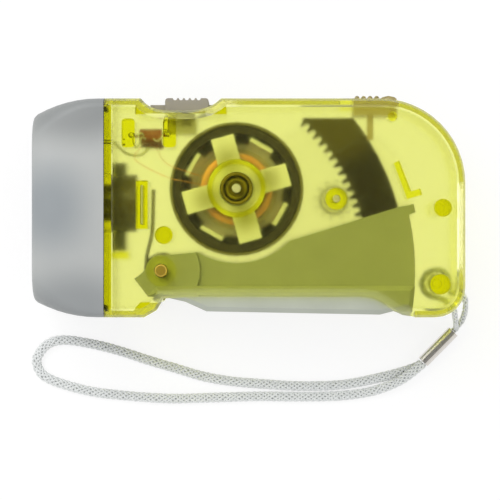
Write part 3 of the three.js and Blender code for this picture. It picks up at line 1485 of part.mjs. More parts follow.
const leverAssembly = assembly();
add(leverAssembly, 'pivot_screw', pivotScrew(), 'brass', 'shiny');
add(leverAssembly, 'squeeze_lever', lever(), 'grey');
add(leverAssembly, 'lever_spring', leverSpring(), 'steel', 'shiny');
add(leverAssembly, 'sector_gear', sectorGear(), 'black');

const gearTrain = assembly(gearAxle);
add(gearTrain, 'main_gear', mainGear(), 'white');
add(gearTrain, 'drive_pinion', drivePinion(), 'white');
add(gearTrain, 'clutch_spring', clutchSpring(), 'steel', 'shiny');
add(gearTrain, 'gear_axle', axle(gearAxleRadius), 'steel', 'shiny');

const flywheel = assembly(flywheelAxis);
add(flywheel, 'flywheel_cup', flywheelCup(), 'black');
add(flywheel, 'ring_magnet', ringMagnet(), 'magnet');
add(flywheel, 'flywheel_axle', axle(flywheelAxleRadius), 'steel', 'shiny');

const stator = assembly(flywheelAxis);
add(stator, 'stator_front_claw', frontClaw(), 'steel', 'shiny');
add(stator, 'stator_rear_claw', rearClaw(), 'steel', 'shiny');
add(stator, 'coil_bobbin', coilBobbin(), 'bobbin');
add(stator, 'coil_inner_layers', coilInnerLayers(), 'copper');
add(stator, 'coil_outer_layer', coilOuterLayer(), 'copper');

const strap = assembly();
add(strap, 'strap_ferrule', ferrule(), 'steel', 'shiny');
add(strap, 'strap_anchor_cord', sweep(anchorRoute, anchorDiameter / 2, anchorDiameter / 2, 8, 44), 'strap');
add(strap, 'wrist_strap', sweep(strapRoute, strapWidth / 2, strapHeight / 2, 8, 46), 'strap');

export default torch;
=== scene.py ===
import math
import random

import bmesh
import bpy
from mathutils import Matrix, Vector


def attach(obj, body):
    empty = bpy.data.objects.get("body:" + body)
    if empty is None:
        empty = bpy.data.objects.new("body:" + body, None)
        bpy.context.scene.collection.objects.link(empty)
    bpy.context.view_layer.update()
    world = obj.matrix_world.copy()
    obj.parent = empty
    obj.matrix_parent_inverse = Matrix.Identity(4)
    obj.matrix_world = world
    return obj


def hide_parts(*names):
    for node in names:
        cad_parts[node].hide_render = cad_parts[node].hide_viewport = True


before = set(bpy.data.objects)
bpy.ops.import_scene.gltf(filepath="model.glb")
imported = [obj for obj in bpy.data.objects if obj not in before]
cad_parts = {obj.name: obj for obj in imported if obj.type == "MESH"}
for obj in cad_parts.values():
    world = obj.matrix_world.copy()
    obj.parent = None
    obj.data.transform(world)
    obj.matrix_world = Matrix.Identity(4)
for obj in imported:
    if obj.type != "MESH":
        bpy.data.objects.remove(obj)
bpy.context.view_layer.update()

# Squeeze lever dynamo torch in a clear yellow case, seen from straight above on a white table
scene = bpy.context.scene
mm = 0.001

# The camera hangs over the middle of the picture and looks straight down
camera = {"x": 0.36 * mm, "y": -10.8 * mm, "height": 560 * mm, "sensor": 36, "lens": 158.25, "clip": 0.01}
cameraData = bpy.data.cameras.new("overheadCamera")
cameraData.sensor_width = camera["sensor"]
cameraData.lens = camera["lens"]
cameraData.clip_start = camera["clip"]
cameraObject = bpy.data.objects.new("overheadCamera", cameraData)
cameraObject.location = (camera["x"], camera["y"], camera["height"])
scene.collection.objects.link(cameraObject)
scene.camera = cameraObject
scene.view_settings.view_transform = "Standard"

# Light that runs round inside the clear case needs many bounces before it gets out
bounces = 32
scene.cycles.max_bounces = bounces
scene.cycles.transmission_bounces = bounces
scene.cycles.glossy_bounces = bounces
scene.cycles.transparent_max_bounces = bounces
print("camera ready")


def newPiece(name, mesh, body, material, stands=()):
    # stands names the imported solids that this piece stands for
    piece = bpy.data.objects.new(name, mesh)
    scene.collection.objects.link(piece)
    piece.data.materials.clear()
    piece.data.materials.append(material)
    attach(piece, body)
    for node in stands:
        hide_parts(node)
    return piece


def meshFrom(name, bm):
    for face in bm.faces:
        face.smooth = True
    mesh = bpy.data.meshes.new(name)
    bm.to_mesh(mesh)
    bm.free()
    return mesh


def millimetres(points):
    return [Vector(point) * mm for point in points]


def smoothRoute(points, spacing):
    # A smooth curve through the points, in steps finer than the spacing, then evened out to the spacing
    fine = []
    count = len(points)
    for index in range(count - 1):
        before = points[index - 1] if index > 0 else points[0] * 2 - points[1]
        start, end = points[index], points[index + 1]
        after = points[index + 2] if index + 2 < count else end * 2 - start
        steps = max(4, int((end - start).length / spacing * 3))
        for step in range(steps):
            t = step / steps
            fine.append(0.5 * (start * 2 + (end - before) * t
                               + (before * 2 - start * 5 + end * 4 - after) * t ** 2
                               + (start * 3 - before - end * 3 + after) * t ** 3))
    fine.append(points[-1])
    lengths = [0.0]
    for a, b in zip(fine, fine[1:]):
        lengths.append(lengths[-1] + (b - a).length)
    rings = max(2, round(lengths[-1] / spacing))
    route, place = [], 0
    for ring in range(rings + 1):
        want = lengths[-1] * ring / rings
        while place < len(lengths) - 2 and lengths[place + 1] < want:
            place += 1
        gap = lengths[place + 1] - lengths[place]
        share = (want - lengths[place]) / gap if gap > 0 else 0
        route.append(fine[place].lerp(fine[place + 1], min(share, 1)))
    return route


def pathLength(path):
    return sum((b - a).length for a, b in zip(path, path[1:]))


def wireMesh(name, strands, roundness):
    # Round wires swept along their routes by a curve, then made one mesh; a strand is a route and its radius
    thickest = max(radius for route, radius in strands)
    curve = bpy.data.curves.new(name, "CURVE")
    curve.dimensions = "3D"
    curve.bevel_depth = thickest
    curve.bevel_resolution = roundness
    curve.use_fill_caps = True
    for route, radius in strands:
        spline = curve.splines.new("POLY")
        spline.points.add(len(route) - 1)
        for point, place in zip(spline.points, route):
            point.co = (*place, 1)
            point.radius = radius / thickest
    carrier = bpy.data.objects.new(name, curve)
    mesh = bpy.data.meshes.new_from_object(carrier)
    bpy.data.objects.remove(carrier)
    bpy.data.curves.remove(curve)
    for polygon in mesh.polygons:
        polygon.use_smooth = len(polygon.vertices) == 4
    mesh.name = name
    return mesh


def srgb(text):
    values = [int(text[place:place + 2], 16) / 255 for place in (0, 2, 4)]
    return (*[v / 12.92 if v <= 0.04045 else ((v + 0.055) / 1.055) ** 2.4 for v in values], 1)


def addNode(material, kind, inputs=None, **settings):
    node = material.node_tree.nodes.new(kind)
    for name, value in settings.items():
        setattr(node, name, value)
    for socket, value in (inputs or {}).items():
        if isinstance(value, bpy.types.NodeSocket):
            material.node_tree.links.new(value, node.inputs[socket])
        else:
            node.inputs[socket].default_value = value
    return node


def startMaterial(name):
    material = bpy.data.materials.new(name)
    material.use_nodes = True
    material.node_tree.nodes.clear()
    return material


def perSize(size):
    # Noise scale for features of this many millimetres
    return 1000 / size


def spot(material, place, look):
    # A soft spot on the piece, from 1 in its middle to 0 at its reach; a reach of 0 runs right through
    scale = [1 / (reach * mm) if reach else 0 for reach in look["reach"]]
    shift = [-centre * mm * part for centre, part in zip(look["centre"], scale)]
    moved = addNode(material, "ShaderNodeMapping", {"Vector": place, "Location": shift, "Scale": scale})
    ball = addNode(material, "ShaderNodeTexGradient", {"Vector": moved.outputs[0]}, gradient_type="SPHERICAL")
    return addNode(material, "ShaderNodeMapRange", {0: ball.outputs["Fac"], 1: 0.0, 2: look["rise"], 4: look["amount"]},
                   interpolation_type="SMOOTHSTEP").outputs[0]


def toneOf(material, place, cloud, look):
    # Two tones clouded into each other, with the look's soft patches over them
    tone = addNode(material, "ShaderNodeMix", {0: cloud.outputs["Fac"], 6: srgb(look["colour"]),
                                               7: srgb(look["shade"])}, data_type="RGBA").outputs[2]
    for patch in look.get("patches", ()):
        tone = addNode(material, "ShaderNodeMix", {0: spot(material, place, patch), 6: tone,
                                                   7: srgb(patch["colour"])}, data_type="RGBA").outputs[2]
    return tone


# Sizes in these looks are millimetres, and the grain of each is drawn as coarse as it has to be to show: a real
# spark texture or drawing line is under 0.1 mm
plastic = {"cloud": 9, "edge": 0.15, "depth": 0.05, "shinier": 0.07, "duller": 0.08, "ior": 1.52, "samples": 6}


def mouldedFinish(name, look):
    # Common ground of the opaque plastics: a mottled colour, a spark texture and uneven gloss
    material = startMaterial(name)
    place = addNode(material, "ShaderNodeTexCoord").outputs["Object"]
    cloud = addNode(material, "ShaderNodeTexNoise", {"Vector": place, "Scale": perSize(plastic["cloud"]),
                                                     "Detail": 4.0})
    tone = toneOf(material, place, cloud, look)
    fine = addNode(material, "ShaderNodeTexNoise", {"Vector": place, "Scale": perSize(look["grain"]), "Detail": 2.0})
    gloss = addNode(material, "ShaderNodeMapRange", {0: fine.outputs["Fac"], 3: look["roughness"] - plastic["shinier"],
                                                     4: look["roughness"] + plastic["duller"]})
    rounded = addNode(material, "ShaderNodeBevel", {"Radius": look.get("edge", plastic["edge"]) * mm},
                      samples=plastic["samples"])
    bump = addNode(material, "ShaderNodeBump", {"Height": fine.outputs["Fac"], "Strength": look["relief"],
                                                "Distance": plastic["depth"] * mm, "Normal": rounded.outputs[0]})
    body = addNode(material, "ShaderNodeBsdfPrincipled",
                   {"Base Color": tone, "Roughness": gloss.outputs[0], "Normal": bump.outputs[0],
                    "IOR": plastic["ior"]})
    addNode(material, "ShaderNodeOutputMaterial", {"Surface": body.outputs[0]})
    return material


metal = {"cloud": 4, "edge": 0.12, "depth": 0.03, "shinier": 0.06, "duller": 0.08, "samples": 6}


def metalFinish(name, look):
    # Common ground of the metals: a drawn or rolled grain that changes gloss and tint together
    material = startMaterial(name)
    place = addNode(material, "ShaderNodeTexCoord").outputs["Object"]
    drawn = addNode(material, "ShaderNodeMapping", {"Vector": place, "Scale": look.get("stretch", (1, 1, 1))})
    lines = addNode(material, "ShaderNodeTexNoise", {"Vector": drawn.outputs[0], "Scale": perSize(look["grain"]),
                                                     "Detail": 3.0})
    cloud = addNode(material, "ShaderNodeTexNoise", {"Vector": place, "Scale": perSize(metal["cloud"]), "Detail": 3.0})
    tone = toneOf(material, place, cloud, look)
    gloss = addNode(material, "ShaderNodeMapRange", {0: lines.outputs["Fac"], 1: 0.3, 2: 0.7,
                                                     3: look["roughness"] - metal["shinier"],
                                                     4: look["roughness"] + metal["duller"]})
    rounded = addNode(material, "ShaderNodeBevel", {"Radius": look.get("edge", metal["edge"]) * mm},
                      samples=metal["samples"])
    bump = addNode(material, "ShaderNodeBump", {"Height": lines.outputs["Fac"], "Strength": look["relief"],
                                                "Distance": metal["depth"] * mm, "Normal": rounded.outputs[0]})
    body = addNode(material, "ShaderNodeBsdfPrincipled",
                   {"Base Color": tone, "Metallic": 1.0, "Roughness": gloss.outputs[0], "Normal": bump.outputs[0]})
    addNode(material, "ShaderNodeOutputMaterial", {"Surface": body.outputs[0]})
    return material


resin = {"flow": 6, "relief": 0.1, "depth": 0.1, "shinier": 0.9, "duller": 1.1}


def clearFinish(name, look):
    # Common ground of the clear and milky resins: a faint flow wave and a frosting that blurs what is behind. Lamps
    # shine straight through, tinted
    material = startMaterial(name)
    path = addNode(material, "ShaderNodeLightPath")
    place = addNode(material, "ShaderNodeTexCoord").outputs["Object"]
    flow = addNode(material, "ShaderNodeTexNoise", {"Vector": place, "Scale": perSize(resin["flow"]), "Detail": 2.0})
    bump = addNode(material, "ShaderNodeBump", {"Height": flow.outputs["Fac"], "Strength": resin["relief"],
                                                "Distance": resin["depth"] * mm})
    gloss = addNode(material, "ShaderNodeMapRange", {0: flow.outputs["Fac"], 3: look["roughness"] * resin["shinier"],
                                                     4: look["roughness"] * resin["duller"]})
    body = addNode(material, "ShaderNodeBsdfPrincipled",
                   {"Base Color": srgb(look["tint"]), "Roughness": gloss.outputs[0], "IOR": look["ior"],
                    "Transmission Weight": look["clarity"], "Normal": bump.outputs[0]})
    lamps = addNode(material, "ShaderNodeBsdfTransparent", {"Color": srgb(look["tint"])})
    surface = addNode(material, "ShaderNodeMixShader", {0: path.outputs["Is Shadow Ray"], 1: body.outputs[0],
                                                        2: lamps.outputs[0]})
    addNode(material, "ShaderNodeOutputMaterial", {"Surface": surface.outputs[0]})
    return material


# Wrist strap, a flat braid, and anchor cord, a round one; the routes are the model's own, in millimetres
strapBraid = {"width": 2.7 * mm, "height": 1.7 * mm, "yarns": 6, "pitch": 8.4 * mm, "yarnRadius": 0.28 * mm,
              "weave": 0.12 * mm, "seed": 3, "spacing": 0.5 * mm, "cores": 3, "flat": True}
anchorBraid = {"width": 1.6 * mm, "height": 1.6 * mm, "yarns": 3, "pitch": 5.6 * mm, "yarnRadius": 0.24 * mm,
               "weave": 0.09 * mm, "seed": 5, "spacing": 0.3 * mm, "cores": 1, "flat": False}
braiding = {"jitter": 0.07, "coreShare": 0.92, "roundness": 1}
strapRoute = [
    (44.05, -39.45, 0.95), (43, -40.4, 0.95), (38.5, -41.9, 0.95), (31.4, -43.7, 0.95), (24.3, -45, 0.95),
    (17.1, -45.4, 0.95), (10, -45.3, 0.95), (2.9, -44.8, 0.95), (-4.2, -44.2, 0.95), (-11.3, -43, 0.95),
    (-18.5, -40.9, 0.95), (-25.6, -38.8, 0.95), (-32.7, -36.5, 0.95), (-39.8, -34.7, 0.95), (-46.9, -33.7, 0.95),
    (-51, -34.7, 0.95), (-53.5, -37.5, 0.95), (-53.8, -40, 0.95), (-52, -42.8, 0.95), (-46.9, -45, 0.95),
    (-39.8, -46.8, 0.95), (-32.7, -47.7, 0.95), (-25.6, -48.3, 0.95), (-18.5, -48.6, 0.95), (-11.3, -48.4, 0.95),
    (-4.2, -48.2, 0.95), (2.9, -48, 0.95), (10, -48.1, 0.95), (17.1, -48.1, 0.95), (24.3, -47.8, 0.95),
    (31.4, -46.7, 1.2), (38.3, -44, 2.3), (43, -40.5, 3), (44.05, -39.45, 3),
]
anchorRoute = [
    (52.11, -31.29, 1.05), (52.7, -30.7, 1.05), (53.3, -30.1, 1.4), (54, -28.6, 3.6), (54.35, -26.4, 7.8),
    (54.1, -23.9, 12.4), (53.4, -22.1, 14.6), (52.2, -21.6, 15), (50.6, -21.5, 15), (49.75, -20.5, 15),
    (49.65, -18.7, 15), (49.1, -17, 15), (47.9, -16, 15), (46.4, -15.7, 15), (44, -16.7, 15), (43, -19.1, 15),
    (44, -21.5, 15), (46.2, -22.5, 15), (47.8, -22.9, 15), (49.1, -23.7, 15), (50.4, -25, 15), (51.1, -26, 14.2),
    (51.6, -27.4, 11.6), (51.9, -28.9, 8.4), (52.3, -29.9, 5.4), (52.6, -30.6, 3.5), (52.45, -30.95, 2.95),
    (52.11, -31.29, 2.85),
]


def routeFrames(route, flat):
    # Point, side and up along a route; a flat braid keeps its width level
    frames, side = [], None
    for index, point in enumerate(route):
        ahead = route[min(index + 1, len(route) - 1)] - route[max(index - 1, 0)]
        ahead.normalize()
        if flat or side is None:
            side = Vector((0, 0, 1)).cross(ahead)
            if side.length < 0.01:
                side = Vector((1, 0, 0)).cross(ahead)
        else:
            side = side - ahead * side.dot(ahead)
        side.normalize()
        frames.append((point, side, ahead.cross(side)))
    return frames


def coreStrands(route, braid):
    # The filling inside a braid, which its yarns lie on
    halfWide = braid["width"] / 2 - braid["yarnRadius"]
    halfHigh = braid["height"] / 2 - braid["yarnRadius"]
    last = max(1, braid["cores"] - 1)
    frames = routeFrames(route, braid["flat"])
    return [([point + side * (2 * core / last - 1) * (halfWide - halfHigh) for point, side, up in frames],
             halfHigh * braiding["coreShare"]) for core in range(braid["cores"])]


def yarnStrands(route, braid):
    # Yarns wound both ways round the core. Which way lies on top changes round the braid, so its stitches stand in
    # rows along it
    random.seed(braid["seed"])
    jitter = braiding["jitter"]
    frames = routeFrames(route, braid["flat"])
    step = (route[1] - route[0]).length
    halfWide = braid["width"] / 2 - braid["yarnRadius"] - braid["weave"]
    halfHigh = braid["height"] / 2 - braid["yarnRadius"] - braid["weave"]
    strands = []
    for way in (1, -1):
        for yarn in range(braid["yarns"]):
            phase = math.tau * (yarn + 0.25 * way) / braid["yarns"] + random.uniform(-jitter, jitter)
            centres = []
            for index, (point, side, up) in enumerate(frames):
                angle = phase + way * math.tau * index * step / braid["pitch"]
                lift = braid["weave"] * way * math.sin(angle * braid["yarns"] / 2)
                centres.append(point + side * (halfWide + lift) * math.cos(angle)
                               + up * (halfHigh + lift) * math.sin(angle))
            strands.append((centres, braid["yarnRadius"]))
    return strands


yarn = {"soil": 7, "filament": 0.3, "relief": 0.5, "depth": 0.06, "roughness": 0.65, "ior": 1.5, "sheen": 0.3,
        "sheenRoughness": 0.4}


def polyesterYarn(name, look):
    # Polyester yarn, heat set and braided: matt with a faint sheen, and ribbed by its filaments, which are some
    # 0.02 mm thick and drawn coarser here so that they show
    material = startMaterial(name)
    place = addNode(material, "ShaderNodeTexCoord").outputs["Object"]
    soil = addNode(material, "ShaderNodeTexNoise", {"Vector": place, "Scale": perSize(yarn["soil"]), "Detail": 4.0})
    filament = addNode(material, "ShaderNodeTexNoise", {"Vector": place, "Scale": perSize(yarn["filament"]),
                                                        "Detail": 2.0})
    tone = addNode(material, "ShaderNodeMix", {0: soil.outputs["Fac"], 6: srgb(look["colour"]), 7: srgb(look["shade"])},
                   data_type="RGBA").outputs[2]
    worn = addNode(material, "ShaderNodeMapRange", {0: filament.outputs["Fac"], 1: 0.35, 2: 0.6})
    tone = addNode(material, "ShaderNodeMix", {0: worn.outputs[0], 6: srgb(look["worn"]), 7: tone},
                   data_type="RGBA").outputs[2]
    bump = addNode(material, "ShaderNodeBump", {"Height": filament.outputs["Fac"], "Strength": yarn["relief"],
                                                "Distance": yarn["depth"] * mm})
    body = addNode(material, "ShaderNodeBsdfPrincipled",
                   {"Base Color": tone, "Roughness": yarn["roughness"], "Normal": bump.outputs[0],
                    "IOR": yarn["ior"], "Sheen Weight": yarn["sheen"], "Sheen Roughness": yarn["sheenRoughness"]})
    addNode(material, "ShaderNodeOutputMaterial", {"Surface": body.outputs[0]})
    return material


yarnLook = {"colour": "F8FAF9", "shade": "ECEFEE", "worn": "D9DCDC"}
coreLook = {"colour": "B4B7B5", "shade": "A9ACAA", "worn": "979998"}
yarnFinish = polyesterYarn("braidedPolyester", yarnLook)
# The core is the same yarn, painted greyer: painted shade where it shows between the stitches
coreFinish = polyesterYarn("polyesterCore", coreLook)
strapPath = smoothRoute(millimetres(strapRoute), strapBraid["spacing"])
anchorPath = smoothRoute(millimetres(anchorRoute), anchorBraid["spacing"])


def braidPiece(name, strands, finish, stands=()):
    return newPiece(name, wireMesh(name, strands, braiding["roundness"]), "housing", finish, stands)


strap = braidPiece("braided_strap", yarnStrands(strapPath, strapBraid), yarnFinish, ["wrist_strap"])
anchor = braidPiece("braided_anchor", yarnStrands(anchorPath, anchorBraid), yarnFinish, ["strap_anchor_cord"])
strapCore = braidPiece("strap_core", coreStrands(strapPath, strapBraid), coreFinish)
anchorCore = braidPiece("anchor_core", coreStrands(anchorPath, anchorBraid), coreFinish)
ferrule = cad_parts["strap_ferrule"]
print("strap and anchor cord braided,", round(pathLength(strapPath) / mm), "and", round(pathLength(anchorPath) / mm),
      "mm")

# Table and studio: a white table in a white tent, a large soft lamp behind on the left, a strip lamp on the right
studio = {"worldLight": 0.74, "keyPower": 2.9, "keyPlace": (-0.38, 0.42, 0.62), "keySize": (0.55, 0.55),
          "stripPower": 0.26, "stripPlace": (0.59, 0.0, 0.475), "stripSize": (0.085, 0.14),
          "overheadFrom": 0.86, "overheadTo": 0.975, "overheadGlow": 0.06,
          "table": "EFEFED", "seenTable": "808080", "seenLift": 0.81, "tableReach": 1.5}


def whiteTable():
    # Matt white laminate in the tent: only the torch's soft shadow shows on it, and what shines or is clear shows
    # it at full white
    material = startMaterial("whiteTable")
    path = addNode(material, "ShaderNodeLightPath")
    tint = addNode(material, "ShaderNodeMix", {0: path.outputs["Is Camera Ray"], 6: srgb(studio["table"]),
                                               7: srgb(studio["seenTable"])}, data_type="RGBA")
    diffuse = addNode(material, "ShaderNodeBsdfDiffuse", {"Color": tint.outputs[2]})
    lift = addNode(material, "ShaderNodeEmission", {"Color": (1, 1, 1, 1), "Strength": studio["seenLift"]})
    black = addNode(material, "ShaderNodeEmission", {"Color": (0, 0, 0, 1)})
    white = addNode(material, "ShaderNodeEmission", {"Color": (1, 1, 1, 1), "Strength": 1.0})
    seen = addNode(material, "ShaderNodeMixShader", {0: path.outputs["Is Camera Ray"], 1: black.outputs[0],
                                                     2: lift.outputs[0]})
    table = addNode(material, "ShaderNodeAddShader", {0: diffuse.outputs[0], 1: seen.outputs[0]})
    through = addNode(material, "ShaderNodeMath", {0: path.outputs["Is Transmission Ray"],
                                                   1: path.outputs["Is Glossy Ray"]}, operation="MAXIMUM")
    surface = addNode(material, "ShaderNodeMixShader", {0: through.outputs[0], 1: table.outputs[0],
                                                        2: white.outputs[0]})
    addNode(material, "ShaderNodeOutputMaterial", {"Surface": surface.outputs[0]})
    return material


bm = bmesh.new()
bmesh.ops.create_grid(bm, x_segments=1, y_segments=1, size=studio["tableReach"])
table = bpy.data.objects.new("table", meshFrom("table", bm))
scene.collection.objects.link(table)
table.data.materials.append(whiteTable())

world = bpy.data.worlds.new("studioWorld")
scene.world = world
world.use_nodes = True
world.node_tree.nodes.clear()
sky = addNode(world, "ShaderNodeLightPath")
direction = addNode(world, "ShaderNodeTexCoord").outputs["Generated"]
height = addNode(world, "ShaderNodeSeparateXYZ", {0: direction}).outputs["Z"]
# The tent is white all round and darker straight overhead, where the camera hangs. What shines and what is clear
# show it at full white. A ray that has left a matt surface before finds the tent dark through the case, so that
# the white gives the pieces inside no more light
overhead = addNode(world, "ShaderNodeMapRange", {0: height, 1: studio["overheadFrom"], 2: studio["overheadTo"],
                                                 3: 1.0, 4: studio["overheadGlow"]})
firstHit = addNode(world, "ShaderNodeMath", {0: sky.outputs["Diffuse Depth"], 1: 0.5}, operation="LESS_THAN")
tent = addNode(world, "ShaderNodeMath", {0: overhead.outputs[0], 1: firstHit.outputs[0]}, operation="MULTIPLY")
shining = addNode(world, "ShaderNodeMath", {0: sky.outputs["Is Transmission Ray"], 1: sky.outputs["Is Glossy Ray"]},
                  operation="MAXIMUM")
seen = addNode(world, "ShaderNodeMapRange", {0: sky.outputs["Is Camera Ray"], 3: studio["worldLight"], 4: 1.0})
strength = addNode(world, "ShaderNodeMix", {0: shining.outputs[0], 2: seen.outputs[0], 3: tent.outputs[0]},
                   data_type="FLOAT")
background = addNode(world, "ShaderNodeBackground", {"Color": (1, 1, 1, 1), "Strength": strength.outputs[0]})
addNode(world, "ShaderNodeOutputWorld", {"Surface": background.outputs[0]})


def softbox(name, power, place, size):
    light = bpy.data.lights.new(name, "AREA")
    light.energy = power
    light.shape = "RECTANGLE"
    light.size, light.size_y = size
    lamp = bpy.data.objects.new(name, light)
    lamp.location = place
    lamp.rotation_euler = (-Vector(place)).to_track_quat("-Z", "Y").to_euler()
    scene.collection.objects.link(lamp)


softbox("keySoftbox", studio["keyPower"], studio["keyPlace"], studio["keySize"])
softbox("stripSoftbox", studio["stripPower"], studio["stripPlace"], studio["stripSize"])
print("table and lights ready")

# Clear case
caseGlass = {"tint": "FDFFFA", "ior": 1.57, "outside": 0.05, "inside": 0.2, "absorb": (11.5, 13.0, 350.0),
             "shadow": "FBFCF0", "flowSize": 14, "scuffSize": 1.2, "relief": 0.25, "depth": 0.2, "scuff": 0.06}


def clearStyrene(name, look):
    # Dyed clear styrene, injection moulded: bright and see-through across a wall, deep lime where light runs
    # along it; polished outside, with faint flow waves, and duller inside, where the mould is only ground
    material = startMaterial(name)
    path = addNode(material, "ShaderNodeLightPath")
    place = addNode(material, "ShaderNodeTexCoord").outputs["Object"]
    flow = addNode(material, "ShaderNodeTexNoise", {"Vector": place, "Scale": perSize(look["flowSize"]),
                                                    "Detail": 2.0})
    scuff = addNode(material, "ShaderNodeTexNoise", {"Vector": place, "Scale": perSize(look["scuffSize"]),
                                                     "Detail": 3.0})
    bump = addNode(material, "ShaderNodeBump", {"Height": flow.outputs["Fac"], "Strength": look["relief"],
                                                "Distance": look["depth"] * mm})
    leaving = addNode(material, "ShaderNodeNewGeometry").outputs["Backfacing"]
    side = addNode(material, "ShaderNodeMapRange", {0: leaving, 3: look["outside"], 4: look["inside"]})
    worn = addNode(material, "ShaderNodeMapRange", {0: scuff.outputs["Fac"], 1: 0.35, 2: 0.8, 3: 0.0,
                                                    4: look["scuff"]})
    gloss = addNode(material, "ShaderNodeMath", {0: side.outputs[0], 1: worn.outputs[0]}, operation="ADD")
    body = addNode(material, "ShaderNodeBsdfPrincipled",
                   {"Base Color": srgb(look["tint"]), "Roughness": gloss.outputs[0], "IOR": look["ior"],
                    "Transmission Weight": 1.0, "Normal": bump.outputs[0]})
    lamps = addNode(material, "ShaderNodeBsdfTransparent", {"Color": srgb(look["shadow"])})
    surface = addNode(material, "ShaderNodeMixShader", {0: path.outputs["Is Shadow Ray"], 1: body.outputs[0],
                                                        2: lamps.outputs[0]})
    density = max(look["absorb"])
    inside = addNode(material, "ShaderNodeVolumeAbsorption",
                     {"Color": (*[1 - part / density for part in look["absorb"]], 1), "Density": density})
    addNode(material, "ShaderNodeOutputMaterial", {"Surface": surface.outputs[0], "Volume": inside.outputs[0]})
    return material


weld = 0.002 * mm


def dress(node, name, body, material, angle=30):
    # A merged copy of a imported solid: smooth round its curves, and crisp where its faces turn by more than the angle
    bm = bmesh.new()
    bm.from_mesh(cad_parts[node].data)
    bmesh.ops.remove_doubles(bm, verts=bm.verts, dist=weld)
    for seam in bm.edges:
        seam.smooth = seam.is_manifold and seam.calc_face_angle(0) < math.radians(angle)
    return newPiece(name, meshFrom(name, bm), body, material, [node])


caseFinish = clearStyrene("dyedClearStyrene", caseGlass)
dress("far_case_half", "far_shell", "housing", caseFinish, 20)
dress("near_case_half", "near_shell", "housing", caseFinish, 20)
print("case halves dressed")

# Lamp: hood, lens, reflector tray, three lamps and their board
hoodLook = {"colour": "B9BBB9", "shade": "B0B3B2", "roughness": 0.42, "grain": 0.35, "relief": 0.15,
            # The patches are painted shade: the reflector's dark bowls behind the middle, and the top and bottom where
            # the hood rounds away
            "patches": [
                {"centre": (-48, -0.4, 0), "reach": (14, 17, 0), "rise": 0.85, "colour": "888F94", "amount": 0.8},
                {"centre": (-43, 27, 0), "reach": (26, 16, 0), "rise": 0.6, "colour": "868989", "amount": 0.9},
                {"centre": (-43, -25, 0), "reach": (22, 14, 0), "rise": 0.8, "colour": "8A8E90", "amount": 0.8},
            ]}
lensLook = {"tint": "F4F8F8", "roughness": 0.02, "ior": 1.49, "clarity": 1.0}
epoxyLook = {"tint": "F2F5EE", "roughness": 0.02, "ior": 1.53, "clarity": 1.0}
chromeLook = {"colour": "E4E5E8", "shade": "D8DADE", "roughness": 0.14, "grain": 0.8, "relief": 0.03}
boardLook = {"colour": "2E5B38", "shade": "24492D", "roughness": 0.35, "grain": 0.3, "relief": 0.15}

# Grey ABS, moulded with a satin face. Its patches are painted shade: a darker bluish oval where the reflector's bowls
# shade it from behind, and darker bands at its top and bottom, where the hood curves away from the light
satinAbs = mouldedFinish("satinAbs", hoodLook)
# Clear acrylic, cut from sheet: glossy, water clear
clearAcrylic = clearFinish("clearAcrylic", lensLook)
# ABS plated with chrome in a vacuum: a mirror with a little orange peel
vacuumPlatedChrome = metalFinish("vacuumPlatedChrome", chromeLook)
# Epoxy resin cast round the chip: clear as glass, with a polished dome
castEpoxy = clearFinish("castEpoxy", epoxyLook)
# Glass epoxy board under green solder mask: satin, darker over the copper
solderMask = mouldedFinish("solderMask", boardLook)
dress("lamp_hood", "hood_shell", "housing", satinAbs)
dress("front_lens", "lens_pane", "housing", clearAcrylic)
dress("reflector", "reflector_tray", "housing", vacuumPlatedChrome)
for number in (1, 2, 3):
    dress(f"led_{number}", f"led_lamp_{number}", "housing", castEpoxy)
dress("lamp_board", "lamp_board_dressed", "housing", solderMask)
print("lamp dressed")

# Battery, contact strip and switch block
sleeveLook = {"colour": "746A3E", "shade": "625A32", "roughness": 0.26, "grain": 0.6, "relief": 0.3}
cradleLook = {"colour": "8E8E6E", "shade": "828266", "roughness": 0.35, "grain": 0.2, "relief": 0.2}
blockLook = {"tint": "DAD6A8", "roughness": 0.5, "ior": 1.53, "clarity": 0.75}
tinLook = {"colour": "F1F0EA", "shade": "E2E1DA", "roughness": 0.4, "grain": 0.25, "stretch": (1, 8, 1),
           "relief": 0.12, "edge": 0.2}
# PVC sleeve shrunk over the cells: smooth with faint tension waves
shrunkVinyl = mouldedFinish("shrunkVinyl", sleeveLook)
# Grey ABS, moulded: plain satin, darkened by the case over it
cradleAbs = mouldedFinish("cradleAbs", cradleLook)
# Natural nylon, moulded: milky, so that it stays a faint shade in the case
blockNylon = clearFinish("blockNylon", blockLook)
# Steel strip, tin plated and pressed: pale, soft gloss, brighter where the press rounded the edges
tinnedSteel = metalFinish("tinnedSteel", tinLook)
dress("battery_pack", "battery_sleeve", "housing", shrunkVinyl)
dress("battery_cradle", "cradle_block", "housing", cradleAbs)
dress("battery_contact", "contact_strip", "housing", tinnedSteel)
dress("switch_block", "switch_block_dressed", "housing", blockNylon)

# Wires and diode
wires = {"lamp": 0.65, "coil": 0.13, "leg": 0.32, "pair": 0.85, "step": 0.5, "roundness": 4}
lampWire = [(-38.35, 15.7, 15), (-35, 15.7, 15), (-33.2, 15.7, 15), (-31.6, 14.2, 16.6), (-29.6, 12.8, 17.8),
            (-26.6, 12.6, 18), (-24.4, 14.4, 18)]
coilLeads = [
    [(-22.6, 14.9, 18), (-21.6, 12.2, 20.6), (-19.3, 9.9, 22.9), (-14.6, 8.2, 23.2), (-11.3, 7.2, 21.3)],
    [(-26.4, 14.9, 19), (-27.6, 11.2, 20.8), (-20.4, 7.2, 23), (-15.4, 5.9, 23.3), (-12, 5.3, 21.3)],
]


def wirePiece(name, routes, diameter, material, stands=(), body="housing"):
    # Round wire of one diameter along each route, both in millimetres
    strands = [(smoothRoute(millimetres(route), diameter * wires["step"] * mm), diameter / 2 * mm)
               for route in routes]
    return newPiece(name, wireMesh(name, strands, wires["roundness"]), body, material, stands)


